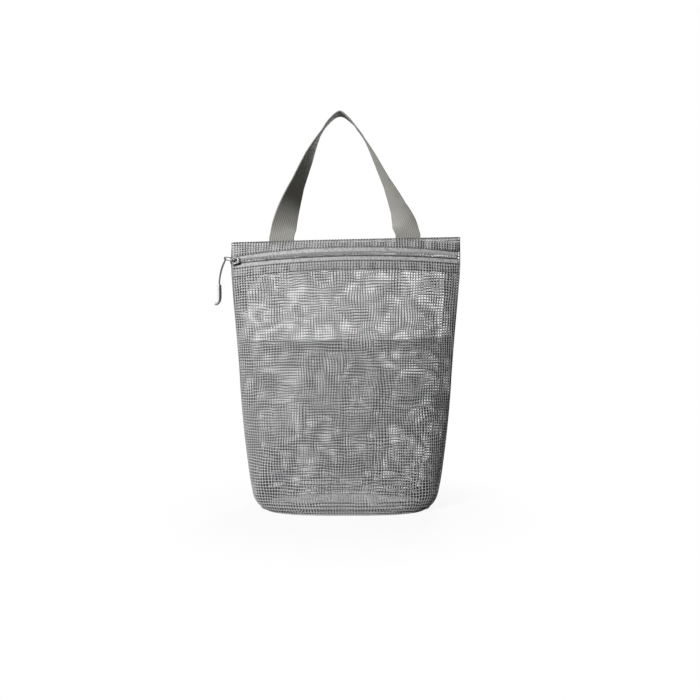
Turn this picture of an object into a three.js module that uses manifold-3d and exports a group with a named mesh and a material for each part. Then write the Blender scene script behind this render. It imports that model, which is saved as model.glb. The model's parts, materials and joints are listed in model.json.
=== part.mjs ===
// Mesh toiletry bag: a soft bag of coated net with a zip across its face and a webbing handle.
// Millimetres, +Z up, +X to the right as seen from the front, and the front faces -Y.
// The origin is on the ground, under the middle of the bag.
import * as THREE from "three";
import { mergeVertices } from "three/addons/utils/BufferGeometryUtils.js";
import Module from "manifold-3d";

// Bag
const bagHeight = 265.6; // ground to the top edge, at the middle
const topHalfWidth = 115;
const baseHalfDepth = 46;
const cornerLift = 2.7; // how far the right top corner stands above the middle, and the left one below
const clothThickness = 0.8;
const gap = 0.3; // clearance between two layers that touch on the real bag
const basePanelThickness = 0.8;

// The net's holes, drawn as a plain grid of far larger openings
const openingsAcross = 11;
const frontOpeningsUp = 7;
const backOpeningsUp = 8;
const netBar = 7.5; // cloth between two openings

// Seam allowances
const allowanceThickness = 1.2;
const sideAllowanceWidth = 13;
const baseAllowanceHeight = 10;

// Pocket on the back wall
const pocketTop = 167;
const pocketHem = 12;
const pocketFullness = 11; // how far each compartment stands off the back wall
const pocketDivider = 28.5; // the divider's place, right of the middle
const pocketSeamInset = 4;

// Zip
const zipEndInset = 1; // from a side seam to the zip's end
const zipHalfSpan = topHalfWidth - zipEndInset;
const zipDrop = 20.6; // from the top edge down to the zip's ends
const zipEndHeight = bagHeight - zipDrop;
const zipBulge = 12.8; // how far the zip's middle stands forward of its ends
const zipBow = 3.4; // and above them
const tapeWidth = 16;
const tapeThickness = 0.6;
const tapeEdge = 1.15; // from the zip's centre line to a tape's inner edge
const bareTape = 6; // how much tape shows on each side of the centre line
const tapeSeamInset = 1.6;
const coilHalfWidth = 2.3;
const coilHeight = 1.9;
const toothPitch = 1.4;
const toothDepth = 0.9;
const coilEndInset = 4.5;

// Slider
const sliderLength = 9.6;
const sliderWidth = 8.4;
const sliderTailWidth = 7.2;
const sliderEndInset = 4.6; // from the zip's end to the slider's middle, closed
const wingThickness = 1;
const flangeWidth = 0.8;
const postLength = 3;
const postWidth = 1.6;
const crownLength = 5;
const crownWidth = 2;
const crownWall = 0.8;

// Bail, a small wire loop
const bailLength = 10.5;
const bailWire = 0.9;
const bailTipWidth = 2.8;
const bailRestDegrees = 40; // how far it stands off the tape

// Pull
const cordDiameter = 1.1;
const gripWidth = 4.2;
const gripThickness = 3.6;

// Handle, one strap sewn in at both ends
const strapWidth = 25;
const strapThickness = 1.5;
const handleRise = 123; // fold line to the top of the loop
const leftLegPlace = 64.5; // left of the middle
const rightLegPlace = 62.5; // right of the middle
const sewnLength = 16; // how far an end reaches down inside
const strapStub = 4; // how far the fold line stands above the top edge

// Faces of each layer, measured outward from the surface on which the seams lie
const wallIn = allowanceThickness / 2 + gap;
const wallOut = wallIn + clothThickness;
const strapBack = wallIn - gap;
const tapeIn = strapThickness - strapBack + gap;
const tapeOut = tapeIn + tapeThickness;
const bandIn = tapeOut + gap;
const bandOut = bandIn + clothThickness;
const coilOut = tapeOut + gap + coilHeight;

// How the body changes with height. Heights are shares of the bag's, widths of its top half width, and depths
// of its base's half depth. Squareness and fullness are the powers of the section's curve.
const bodyShares = [
  { height: 0, width: 0.68, front: 1, back: 0.935, squareness: 2.8, fullness: 2.8 },
  { height: 0.0226, width: 0.745, front: 0.93, back: 0.88, squareness: 3, fullness: 3 },
  { height: 0.06, width: 0.786, front: 0.87, back: 0.84, squareness: 3.1, fullness: 3.1 },
  { height: 0.15, width: 0.83, front: 0.804, back: 0.804, squareness: 2.9, fullness: 2.6 },
  { height: 0.377, width: 0.897, front: 0.685, back: 0.685, squareness: 2.5, fullness: 1.8 },
  { height: 0.621, width: 0.944, front: 0.566, back: 0.566, squareness: 2.2, fullness: 1.3 },
  { height: 0.772, width: 0.976, front: 0.435, back: 0.435, squareness: 2.1, fullness: 1.1 },
  { height: 0.904, width: 1, front: 0.299, back: 0.239, squareness: 2, fullness: 1 },
  { height: 1, width: 1, front: 0.187, back: 0, squareness: 2, fullness: 1 },
];

function vector(x, y, z) {
  return new THREE.Vector3(x, y, z);
}

function mix(a, b, share) {
  return a + (b - a) * share;
}

function smooth(share) {
  const t = Math.min(Math.max(share, 0), 1);
  return t * t * (3 - 2 * t);
}

// A smooth curve through one column of the table, by cubic pieces whose slopes come from the neighbouring rows
function columnAt(rows, column, height) {
  const last = rows.length - 2;
  let i = rows.findIndex((row, k) => k < rows.length - 1 && height <= rows[k + 1].height);
  i = i < 0 ? last : i;
  const slope = (k) => {
    const before = rows[Math.max(k - 1, 0)];
    const after = rows[Math.min(k + 1, rows.length - 1)];
    return (after[column] - before[column]) / (after.height - before.height);
  };
  const span = rows[i + 1].height - rows[i].height;
  const t = (height - rows[i].height) / span;
  const start = rows[i][column];
  const rise = rows[i + 1][column] - start;
  const first = slope(i) * span - rise;
  const second = rise - slope(i + 1) * span;
  return start + rise * t + t * (1 - t) * (first * (1 - t) + second * t);
}

// Half of a level section, from the left seam to the right one, at even steps along the cloth
const sectionSteps = 160;
const sections = new Map();

function section(height, side) {
  const key = `${height},${side}`;
  if (sections.has(key)) {
    return sections.get(key);
  }
  const share = height / bagHeight;
  const halfWidth = topHalfWidth * columnAt(bodyShares, "width", share);
  const depth = baseHalfDepth * columnAt(bodyShares, side < 0 ? "front" : "back", share);
  const squareness = columnAt(bodyShares, "squareness", share);
  const fullness = columnAt(bodyShares, "fullness", share);
  const points = [];
  const lengths = [];
  let length = 0;
  for (let i = 0; i <= sectionSteps; i++) {
    const turn = Math.PI * (1 - i / sectionSteps);
    const across = Math.cos(turn);
    const x = halfWidth * Math.sign(across) * Math.abs(across) ** (2 / squareness);
    const y = side * depth * Math.sin(turn) ** (2 / fullness);
    points.push([x, i % sectionSteps ? y : 0]);
    length += i ? Math.hypot(x - points[i - 1][0], y - points[i - 1][1]) : 0;
    lengths.push(length);
  }
  const made = { points, lengths, length };
  sections.set(key, made);
  return made;
}

// A point of a section: s runs from -1 at the left seam to 1 at the right seam
function sectionPoint(height, side, s) {
  const { points, lengths, length } = section(height, side);
  const wanted = ((s + 1) / 2) * length;
  let i = lengths.findIndex((value) => value >= wanted);
  i = i < 0 ? sectionSteps : Math.max(i, 1);
  const t = (wanted - lengths[i - 1]) / (lengths[i] - lengths[i - 1]);
  return [mix(points[i - 1][0], points[i][0], t), mix(points[i - 1][1], points[i][1], t)];
}

function lift(x, height) {
  return cornerLift * (x / topHalfWidth) * (height / bagHeight);
}

function backPoint(s, height) {
  const [x, y] = sectionPoint(height, 1, s);
  return vector(x, y, height + lift(x, height));
}

// The zip's centre line is an arc through its two ends and its middle
const zipLeft = vector(-zipHalfSpan, 0, zipEndHeight + lift(-zipHalfSpan, zipEndHeight));
const zipMiddle = vector(0, -zipBulge, zipEndHeight + zipBow);
const zipRight = vector(zipHalfSpan, 0, zipEndHeight + lift(zipHalfSpan, zipEndHeight));

function arcThrough(a, b, c) {
  const ab = b.clone().sub(a);
  const ac = c.clone().sub(a);
  const normal = ab.clone().cross(ac);
  const toCentre = normal
    .clone()
    .cross(ab)
    .multiplyScalar(ac.lengthSq())
    .add(ac.clone().cross(normal).multiplyScalar(ab.lengthSq()))
    .divideScalar(2 * normal.lengthSq());
  const centre = a.clone().add(toCentre);
  const angle = a.clone().sub(centre).angleTo(c.clone().sub(centre));
  return { centre, radius: toCentre.length(), axis: normal.normalize(), angle };
}

const zipArc = arcThrough(zipLeft, zipMiddle, zipRight);
const zipLength = zipArc.radius * zipArc.angle;
const zipUp = zipArc.axis;

// Outward direction at a distance along the zip, measured from its left end
function zipOut(along) {
  return zipLeft
    .clone()
    .sub(zipArc.centre)
    .normalize()
    .applyAxisAngle(zipUp, along / zipArc.radius);
}

// A point by its distance along the zip, across it (upward) and out of it
function zipPoint(along, across, out) {
  return zipArc.centre
    .clone()
    .addScaledVector(zipOut(along), zipArc.radius + out)
    .addScaledVector(zipUp, across);
}

function zipAlong(s) {
  return ((s + 1) / 2) * zipLength;
}

// The front, below the zip, is a section that turns into the zip's own arc near the top
const panelTop = zipEndHeight - bareTape * zipUp.z;
const turnHeight = 2 * tapeWidth;

function plainFront(s, height) {
  const [x, y] = sectionPoint(height, -1, s);
  const bow = zipBow * (1 - s * s) * (height / zipEndHeight) ** 2;
  return vector(x, y, height + lift(x, height) + bow);
}

function frontPoint(s, height) {
  const made = plainFront(s, height);
  const miss = zipPoint(zipAlong(s), -bareTape, 0).sub(plainFront(s, panelTop));
  return made.addScaledVector(miss, smooth((height - panelTop + turnHeight) / turnHeight));
}

function topEdge(s) {
  return vector(topHalfWidth * s, 0, bagHeight + cornerLift * s);
}

// The front near the zip, by the distance across it: bare tape lies on the arc, and the band above it runs
// straight to the top edge, where the layers come together level
const bandRun = topEdge(0).distanceTo(zipPoint(zipLength / 2, bareTape, 0));

function zipZone(s, across) {
  if (across < -bareTape) {
    return frontPoint(s, panelTop + bareTape + across);
  }
  const along = zipAlong(s);
  if (across <= bareTape) {
    return zipPoint(along, across, 0);
  }
  return zipPoint(along, bareTape, 0).lerp(topEdge(s), (across - bareTape) / bandRun);
}

function bandFacing(s, across) {
  const onTape = zipOut(zipAlong(s));
  if (across < bareTape) {
    return onTape;
  }
  if (across === bareTape + bandRun) {
    return vector(0, -1, 0);
  }
  const run = topEdge(s).sub(zipPoint(zipAlong(s), bareTape, 0));
  const onBand = zipUp.clone().cross(onTape).cross(run).normalize();
  return across > bareTape ? onBand : onBand.add(onTape).normalize();
}

// Sheets: a grid of points, moved out along its own normals, and the closed solid between two such grids
function gridOf(columns, rows, at) {
  return rows.map((row) => columns.map((column) => at(column, row)));
}

function evenly(from, to, steps) {
  return Array.from({ length: steps + 1 }, (_, i) => mix(from, to, i / steps));
}

function normalsOf(grid, side) {
  const lastRow = grid.length - 1;
  const lastColumn = grid[0].length - 1;
  return grid.map((row, i) =>
    row.map((_, j) => {
      const along = row[Math.min(j + 1, lastColumn)].clone().sub(row[Math.max(j - 1, 0)]);
      const up = grid[Math.min(i + 1, lastRow)][j].clone().sub(grid[Math.max(i - 1, 0)][j]);
      return along.cross(up).normalize().multiplyScalar(-side);
    }),
  );
}

function movedOut(grid, normals, distanceAt) {
  return grid.map((row, i) =>
    row.map((place, j) => place.clone().addScaledVector(normals[i][j], distanceAt(i, j))),
  );
}

function solidFrom(triangles) {
  const geometry = new THREE.BufferGeometry();
  const positions = triangles.flat().flatMap((corner) => corner.toArray());
  geometry.setAttribute("position", new THREE.Float32BufferAttribute(positions, 3));
  geometry.computeVertexNormals();
  return geometry;
}

function quad(a, b, c, d) {
  return [
    [a, b, c],
    [a, c, d],
  ];
}

// The outer grid is seen from outside with its columns running to the right and its rows upward. A closed slab
// joins its last column to its first, and a cell for which openAt is true becomes a hole with four walls.
function slab(outer, inner, closed = false, openAt = () => false) {
  const faces = [];
  const lastRow = outer.length - 1;
  const count = outer[0].length;
  const last = count - 1;
  for (let j = 0; j < (closed ? count : last); j++) {
    const k = (j + 1) % count;
    for (let i = 0; i < lastRow; i++) {
      const front = [outer[i][j], outer[i][k], outer[i + 1][k], outer[i + 1][j]];
      const back = [inner[i][j], inner[i][k], inner[i + 1][k], inner[i + 1][j]];
      if (openAt(i, j)) {
        front.forEach((corner, n) => {
          const next = (n + 1) % front.length;
          faces.push(...quad(corner, front[next], back[next], back[n]));
        });
      } else {
        faces.push(...quad(...front), ...quad(back[0], back[3], back[2], back[1]));
      }
    }
    faces.push(...quad(inner[0][j], inner[0][k], outer[0][k], outer[0][j]));
    faces.push(...quad(outer[lastRow][j], outer[lastRow][k], inner[lastRow][k], inner[lastRow][j]));
  }
  for (let i = 0; i < (closed ? 0 : lastRow); i++) {
    faces.push(...quad(outer[i][0], outer[i + 1][0], inner[i + 1][0], inner[i][0]));
    faces.push(...quad(inner[i][last], inner[i + 1][last], outer[i + 1][last], outer[i][last]));
  }
  return solidFrom(faces);
}

// A sheet on the back wall has its columns run the other way, so that it is seen from outside like a front one.
// Rows at the base, and one at the bag's top edge, move out level. isOpen tells of a place whether it is in a hole.
function sheet(columns, rows, at, side, outAt, inAt, isOpen = () => false) {
  const order = side < 0 ? columns : [...columns].reverse();
  const grid = gridOf(order, rows, at);
  const normals = normalsOf(grid, -1);
  rows.forEach((height, i) => {
    if (height <= pocketFoot || height === bagHeight) {
      normals[i].forEach((normal) => normal.setZ(0).normalize());
    }
  });
  const outer = movedOut(grid, normals, (i, j) => outAt(order[j], rows[i]));
  const inner = movedOut(grid, normals, (i, j) => inAt(order[j], rows[i]));
  const openAt = (i, j) => isOpen(mix(order[j], order[j + 1], 0.5), mix(rows[i], rows[i + 1], 0.5));
  return slab(outer, inner, false, openAt);
}

// A solid through a row of rings of corners. A ring runs anticlockwise as seen from the way the rings go.
function loft(rings, closed = false) {
  const faces = [];
  const corners = rings[0].length;
  const steps = closed ? rings.length : rings.length - 1;
  for (let i = 0; i < steps; i++) {
    const here = rings[i];
    const next = rings[(i + 1) % rings.length];
    for (let j = 0; j < corners; j++) {
      const k = (j + 1) % corners;
      faces.push(...quad(here[j], here[k], next[k], next[j]));
    }
  }
  if (!closed) {
    const first = rings[0];
    const last = rings[rings.length - 1];
    for (let j = 1; j < corners - 1; j++) {
      faces.push([first[0], first[j + 1], first[j]]);
      faces.push([last[0], last[j], last[j + 1]]);
    }
  }
  return solidFrom(faces);
}

const cloth = new THREE.MeshStandardMaterial({ color: 0x8d8c8c, roughness: 0.6, metalness: 0 });
const tapeFinish = new THREE.MeshStandardMaterial({ color: 0xb4b3b3, roughness: 0.75, metalness: 0 });
const coilFinish = new THREE.MeshStandardMaterial({ color: 0x8a898a, roughness: 0.4, metalness: 0 });
const webbing = new THREE.MeshStandardMaterial({ color: 0x83827b, roughness: 0.8, metalness: 0 });
const metal = new THREE.MeshStandardMaterial({ color: 0xc9c9cc, roughness: 0.25, metalness: 1 });
const darkCord = new THREE.MeshStandardMaterial({ color: 0x58585a, roughness: 0.7, metalness: 0 });
const gripFinish = new THREE.MeshStandardMaterial({ color: 0xa9a8a6, roughness: 0.5, metalness: 0 });

const bag = new THREE.Group();

function add(name, geometry, material) {
  const mesh = new THREE.Mesh(geometry, material);
  mesh.name = name;
  bag.add(mesh);
  return mesh;
}

// Walls. Layers that lie on each other share columns and rows, so that their facets stay parallel.
const wallEdge = 1 - wallIn / topHalfWidth;
const pocketEdge = 1 - pocketSeamInset / topHalfWidth;
const dividerShare = pocketDivider / topHalfWidth;
const allowanceFoot = basePanelThickness + gap;
const allowanceTop = allowanceFoot + baseAllowanceHeight;
const pocketFoot = allowanceTop + gap;
const baseRows = [allowanceFoot, mix(allowanceFoot, allowanceTop, 0.5), allowanceTop];

// Bars and openings in turn between two places, with a bar at each end: the edges of all bars, and a test that
// tells whether a place is in an opening
function barsAndOpenings(from, to, openings, bar) {
  const pitch = (to - from - bar) / openings;
  const starts = evenly(from, to - bar, openings);
  return {
    lines: starts.flatMap((start) => [start, start + bar]),
    isOpen: (place) => place > from && place < to && (place - from) % pitch > bar,
  };
}

const netAcross = barsAndOpenings(-pocketEdge, pocketEdge, openingsAcross, netBar / topHalfWidth);
const pocketColumns = [...netAcross.lines, dividerShare].sort((a, b) => a - b);
const wallColumns = [-wallEdge, ...pocketColumns, wallEdge];
const tapeStart = panelTop + bareTape - tapeWidth;
const coverMiddle = (tapeWidth + bareTape) / 2; // halfway up the strip where the panel covers the tape

// The front panel stands further out where it covers the lower tape
const stepStart = tapeStart - tapeWidth;
const frontNet = barsAndOpenings(allowanceTop, stepStart, frontOpeningsUp, netBar);
const frontRows = [
  0,
  ...baseRows.slice(0, -1),
  ...frontNet.lines,
  tapeStart - tapeWidth / 2,
  tapeStart - gap,
  panelTop + bareTape - coverMiddle,
  panelTop,
];

function frontStep(height) {
  return (bandIn - wallIn) * smooth((height - stepStart) / (tapeWidth - gap));
}

add(
  "front_panel",
  sheet(
    wallColumns,
    frontRows,
    frontPoint,
    -1,
    (s, height) => wallOut + frontStep(height),
    (s, height) => wallIn + frontStep(height),
    (s, height) => netAcross.isOpen(s) && frontNet.isOpen(height),
  ),
  cloth,
);

const backNet = barsAndOpenings(allowanceTop, zipEndHeight, backOpeningsUp, netBar);
const backRows = [0, ...baseRows.slice(0, -1), ...backNet.lines, mix(zipEndHeight, bagHeight, 0.5), bagHeight];

add(
  "back_panel",
  sheet(
    wallColumns,
    backRows,
    backPoint,
    1,
    () => wallOut,
    () => wallIn,
    (s, height) => netAcross.isOpen(s) && backNet.isOpen(height),
  ),
  cloth,
);

// The layers at the zip: two tapes, and the band that covers the upper one up to the top edge
function zipSheet(heights, edge, inner, outer) {
  const columns = wallColumns.map((s) => (s / wallEdge) * edge);
  const grid = gridOf(columns, heights, zipZone);
  const facing = gridOf(columns, heights, bandFacing);
  return slab(
    movedOut(grid, facing, () => outer),
    movedOut(grid, facing, () => inner),
  );
}

const tapeEnd = 1 - tapeSeamInset / topHalfWidth;
const tapeRows = [tapeEdge, bareTape, coverMiddle, tapeWidth];
const bandRows = [bareTape, coverMiddle, tapeWidth, bareTape + bandRun];
add("zipper_tape_upper", zipSheet(tapeRows, tapeEnd, tapeIn, tapeOut), tapeFinish);
add("top_band", zipSheet(bandRows, wallEdge, bandIn, bandOut), cloth);

function lowerTape() {
  const columns = wallColumns.map((s) => (s / wallEdge) * tapeEnd);
  const heights = tapeRows.map((across) => -across).reverse();
  const grid = gridOf(columns, heights, zipZone);
  const normals = normalsOf(grid, -1);
  return slab(
    movedOut(grid, normals, () => tapeOut),
    movedOut(grid, normals, () => tapeIn),
  );
}

add("zipper_tape_lower", lowerTape(), tapeFinish);

// Base
const baseColumns = [-1, ...wallColumns, 1];

function baseOutline(height, out) {
  const front = baseColumns.map((s) => frontPoint(s, height));
  const back = [...baseColumns].reverse().map((s) => backPoint(s, height));
  const loop = [...front.slice(0, -1), ...back.slice(0, -1)];
  return loop.map((place, i) => {
    const before = loop[(i + loop.length - 1) % loop.length];
    const after = loop[(i + 1) % loop.length];
    const along = after.clone().sub(before);
    return place.clone().addScaledVector(vector(along.y, -along.x, 0).normalize(), out);
  });
}

const baseShape = new THREE.Shape(
  baseOutline(0, wallIn - 2 * gap).map((place) => new THREE.Vector2(place.x, place.y)),
);
add(
  "base_panel",
  new THREE.ExtrudeGeometry(baseShape, { depth: basePanelThickness, bevelEnabled: false }),
  cloth,
);

function baseAllowance() {
  const outer = wallIn - gap;
  return slab(
    baseRows.map((height) => baseOutline(height, outer)),
    baseRows.map((height) => baseOutline(height, outer - allowanceThickness)),
    true,
  );
}

add("base_seam_allowance", baseAllowance(), cloth);

// Side allowances, strips that stand inward from the side seams
const stripFoot = allowanceTop + gap;
const stripTop = zipEndHeight - sliderWidth;
const stripRows = 16;

function sideAllowance(side) {
  const rings = evenly(stripFoot, stripTop, stripRows).map((height) => {
    const edge = sectionPoint(height, -1, 1)[0];
    const outer = edge + mix(wallOut, 0, height / bagHeight) - gap;
    const inner = edge - sideAllowanceWidth;
    const half = allowanceThickness / 2;
    const corner = (x, y) => vector(side * x, side * y, height + lift(side * x, height));
    return [corner(inner, -half), corner(outer, -half), corner(outer, half), corner(inner, half)];
  });
  return loft(rings);
}

add("left_seam_allowance", sideAllowance(-1), cloth);
add("right_seam_allowance", sideAllowance(1), cloth);

// Pocket, with two full compartments and its top edge folded double
const pocketOut = wallIn - gap;

function compartment(s) {
  const [from, to] = s < dividerShare ? [-pocketEdge, dividerShare] : [dividerShare, pocketEdge];
  const t = (s - from) / (to - from);
  return 4 * t * (1 - t);
}

function pocketFace(s, height) {
  return pocketOut - pocketFullness * compartment(s) * smooth((height - pocketFoot) / (3 * baseAllowanceHeight));
}

function pocketInside(s, height) {
  const folded = height > pocketTop - pocketHem;
  return pocketFace(s, height) - clothThickness * (folded ? 2 : 1);
}

const hemStart = pocketTop - pocketHem;
const pocketMiddle = backRows.filter((height) => height > allowanceTop && height < hemStart);
add(
  "pocket_panel",
  sheet(
    pocketColumns,
    [pocketFoot, ...pocketMiddle, hemStart, hemStart + clothThickness, pocketTop],
    backPoint,
    1,
    pocketFace,
    pocketInside,
  ),
  cloth,
);

// Coil halves: a flat strip with teeth along one edge, bent round the zip's arc
const restAlong = sliderEndInset;
const coilStart = restAlong - sliderLength / 2 + postWidth / 2 + postLength + gap;
const toothSlope = toothDepth / (toothPitch / 2);
const toothGap = gap * Math.hypot(1, toothSlope);

// Triangles between two edges that run the same way, each next corner taken from the edge that lags behind
function between(a, b, aAlong, bAlong) {
  const faces = [];
  const lags = (i, j) => aAlong[i] + aAlong[i + 1] <= bAlong[j] + bAlong[j + 1];
  let i = 0;
  let j = 0;
  while (i < a.length - 1 || j < b.length - 1) {
    const onA = j === b.length - 1 || (i < a.length - 1 && lags(i, j));
    faces.push(onA ? [a[i], a[i + 1], b[j]] : [a[i], b[j + 1], b[j]]);
    i += onA ? 1 : 0;
    j += onA ? 0 : 1;
  }
  return faces;
}

function coilHalf(side) {
  const teeth = Math.floor((zipLength - coilEndInset - coilStart) / toothPitch);
  const toothed = evenly(coilStart, coilStart + teeth * toothPitch, 2 * teeth);
  const plain = evenly(coilStart, coilStart + teeth * toothPitch, Math.ceil(teeth / 2));
  const swing = (i) => ((i % 2 ? 1 : -1) * toothDepth + side * toothGap) / 2;
  const [bottom, top] = [tapeOut + gap, coilOut].map((out) => ({
    teeth: toothed.map((along, i) => zipPoint(along, swing(i), out)),
    back: plain.map((along) => zipPoint(along, side * coilHalfWidth, out)),
  }));
  const ends = (a, b, i) => [a.teeth.at(i), a.back.at(i), b.back.at(i), b.teeth.at(i)];
  const faces = [
    ...between(top.teeth, top.back, toothed, plain),
    ...between(bottom.back, bottom.teeth, plain, toothed),
    ...between(bottom.teeth, top.teeth, toothed, toothed),
    ...between(top.back, bottom.back, plain, plain),
    ...quad(...ends(bottom, top, 0).reverse()),
    ...quad(...ends(bottom, top, -1)),
  ];
  return solidFrom(side > 0 ? faces : faces.map(([a, b, c]) => [a, c, b]));
}

add("zipper_coil_upper", coilHalf(1), coilFinish);
add("zipper_coil_lower", coilHalf(-1), coilFinish);

// Slider, built flat in its own frame: x along the zip, y across it and z out of it
const wasm = await Module();
wasm.setup();

function toManifold(geometry) {
  const plain = geometry.clone();
  plain.deleteAttribute("normal");
  plain.deleteAttribute("uv");
  const merged = mergeVertices(plain);
  const vertProperties = new Float32Array(merged.getAttribute("position").array);
  return new wasm.Manifold(
    new wasm.Mesh({ numProp: 3, vertProperties, triVerts: new Uint32Array(merged.getIndex().array) }),
  );
}

function fromManifold(solid) {
  const { vertProperties, triVerts } = solid.getMesh();
  const geometry = new THREE.BufferGeometry();
  geometry.setAttribute("position", new THREE.BufferAttribute(vertProperties, 3));
  geometry.setIndex(new THREE.BufferAttribute(triVerts, 1));
  geometry.computeVertexNormals();
  return geometry;
}

function plate(shape, from, to, curveSegments = 6) {
  const settings = { depth: to - from, bevelEnabled: false, curveSegments };
  return new THREE.ExtrudeGeometry(shape, settings).translate(0, 0, from);
}

// Seen from outside, the wing is widest at its shoulders, notched at the nose and rounded at the tail
function wingShape() {
  const nose = -sliderLength / 2;
  const tail = sliderLength / 2;
  const half = sliderWidth / 2;
  const tailHalf = sliderTailWidth / 2;
  const shape = new THREE.Shape();
  shape.moveTo(nose + postWidth / 2, 0);
  shape.bezierCurveTo(nose, -half * 0.2, nose, -half * 0.5, nose + half * 0.15, -half * 0.75);
  shape.bezierCurveTo(nose + half * 0.3, -half, nose + half * 0.6, -half, nose + half, -half);
  shape.lineTo(tail - tailHalf / 2, -tailHalf);
  shape.quadraticCurveTo(tail, -tailHalf, tail, -tailHalf / 2);
  shape.lineTo(tail, tailHalf / 2);
  shape.quadraticCurveTo(tail, tailHalf, tail - tailHalf / 2, tailHalf);
  shape.lineTo(nose + half, half);
  shape.bezierCurveTo(nose + half * 0.6, half, nose + half * 0.3, half, nose + half * 0.15, half * 0.75);
  shape.bezierCurveTo(nose, half * 0.5, nose, half * 0.2, nose + postWidth / 2, 0);
  return shape;
}

function postShape() {
  const nose = -sliderLength / 2 + postWidth / 2;
  const shape = new THREE.Shape();
  shape.moveTo(nose, 0);
  shape.quadraticCurveTo(nose, -postWidth / 2, nose + postLength / 3, -postWidth / 2);
  shape.lineTo(nose + postLength, 0);
  shape.lineTo(nose + postLength / 3, postWidth / 2);
  shape.quadraticCurveTo(nose, postWidth / 2, nose, 0);
  return shape;
}

function flangeShape(side) {
  const inner = coilHalfWidth + gap;
  const outer = inner + flangeWidth;
  const from = -sliderLength / 2 + postLength + gap;
  const to = sliderLength / 2 - flangeWidth;
  const corners = [
    [from, inner],
    [to, inner],
    [to, outer],
    [from, outer],
  ];
  return new THREE.Shape(corners.map(([x, y]) => new THREE.Vector2(x, side * y)));
}

const topWingIn = coilOut + gap;
const topWingOut = topWingIn + wingThickness;
const bottomWingOut = tapeIn - gap;
const tunnelRadius = bailWire / 2 + 1.2 * gap;
const pivotOut = topWingOut + tunnelRadius;
const overrun = gap;

// The crown is an arch along the slider, with a tunnel across it for the bail
function crown() {
  const foot = topWingOut - overrun;
  const crest = pivotOut + tunnelRadius + crownWall;
  const half = crownLength / 2;
  const shape = new THREE.Shape();
  shape.moveTo(-half, foot);
  shape.lineTo(half, foot);
  shape.bezierCurveTo(half, mix(foot, crest, 0.7), half * 0.6, crest, 0, crest);
  shape.bezierCurveTo(-half * 0.6, crest, -half, mix(foot, crest, 0.7), -half, foot);
  const tunnel = new THREE.Path();
  tunnel.absarc(0, pivotOut, tunnelRadius, 0, 2 * Math.PI, true);
  shape.holes.push(tunnel);
  return plate(shape, -crownWidth / 2, crownWidth / 2, 8).rotateX(Math.PI / 2);
}

function sliderBody() {
  const flanges = [-1, 1].map((side) =>
    toManifold(plate(flangeShape(side), tapeOut + gap, topWingIn + overrun)),
  );
  const solid = toManifold(plate(wingShape(), topWingIn, topWingOut))
    .add(toManifold(plate(wingShape(), bottomWingOut - wingThickness, bottomWingOut)))
    .add(toManifold(plate(postShape(), bottomWingOut - overrun, topWingIn + overrun)))
    .add(flanges[0])
    .add(flanges[1])
    .add(toManifold(crown()));
  return fromManifold(solid);
}

// A group whose axes run along, across and out of the zip at the closed slider
function zipFrame(along) {
  const out = zipOut(along);
  const tangent = zipUp.clone().cross(out);
  const frame = new THREE.Group();
  frame.quaternion.setFromRotationMatrix(new THREE.Matrix4().makeBasis(tangent, zipUp, out));
  frame.position.copy(zipPoint(along, 0, 0));
  return frame;
}

const sliderFrame = zipFrame(restAlong);
bag.add(sliderFrame);
sliderFrame.add(add("slider_body", sliderBody(), metal));

// Bail: a drop-shaped wire loop through the crown, narrow at its free tip
const bailRest = THREE.MathUtils.degToRad(bailRestDegrees);
const bailSteps = 28;
const wireSides = 8;

function bailPath() {
  const barHalf = crownWidth / 2 + gap + bailWire / 2;
  const tipHalf = bailTipWidth / 2;
  const tip = -bailLength + bailWire / 2;
  const places = [
    [0, 0],
    [0, barHalf * 0.7],
    [-bailWire, barHalf + gap],
    [tip / 2, mix(barHalf, tipHalf, 0.5)],
    [tip + tipHalf, tipHalf],
    [tip + tipHalf * (1 - Math.SQRT1_2), tipHalf * Math.SQRT1_2],
    [tip, 0],
  ];
  const mirrored = places.slice(1, -1).reverse();
  const loop = [...places, ...mirrored.map(([x, y]) => [x, -y])];
  return new THREE.CatmullRomCurve3(
    loop.map(([x, y]) => vector(x, y, 0)),
    true,
  );
}

function wireLoop(curve, radius, steps, sides) {
  const rings = curve
    .getSpacedPoints(steps)
    .slice(0, steps)
    .map((place, i) => {
      const ahead = curve.getTangentAt(i / steps);
      const side = vector(0, 0, 1).cross(ahead).normalize();
      return evenly(0, 2 * Math.PI, sides)
        .slice(0, sides)
        .map((turn) =>
          place
            .clone()
            .addScaledVector(side, radius * Math.cos(turn))
            .add(vector(0, 0, radius * Math.sin(turn))),
        );
    });
  return loft(rings, true);
}

const bail = add("slider_bail", wireLoop(bailPath(), bailWire / 2, bailSteps, wireSides), metal);
bail.position.set(0, 0, pivotOut);
bail.rotation.y = bailRest;
sliderFrame.add(bail);

// Pull: the cord's loop goes through the bail's tip and hangs from it
sliderFrame.updateMatrixWorld(true);
const eye = bail.localToWorld(vector(-bailLength + bailWire + cordDiameter / 2 + 1.4 * gap, 0, 0));
const bailAway = bail.localToWorld(vector(-1, 0, 0)).sub(bail.localToWorld(vector(0, 0, 0)));
bailAway.z = 0;
bailAway.normalize();
const bailSide = vector(0, 0, 1).cross(bailAway).normalize();
const bailThrough = bail.localToWorld(vector(0, 0, 1)).sub(bail.localToWorld(vector(0, 0, 0)));
bailThrough.multiplyScalar(Math.sign(bailThrough.dot(bailSide)));

// A point by its distance away from the slider, to the side and down. The cord goes straight through the loop and
// hangs level below it.
function fromEye(away, side, drop) {
  const sideways = bailThrough.clone().lerp(bailSide, smooth(drop / bailLength));
  return eye.clone().addScaledVector(bailAway, away).addScaledVector(sideways, side).add(vector(0, 0, -drop));
}

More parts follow.
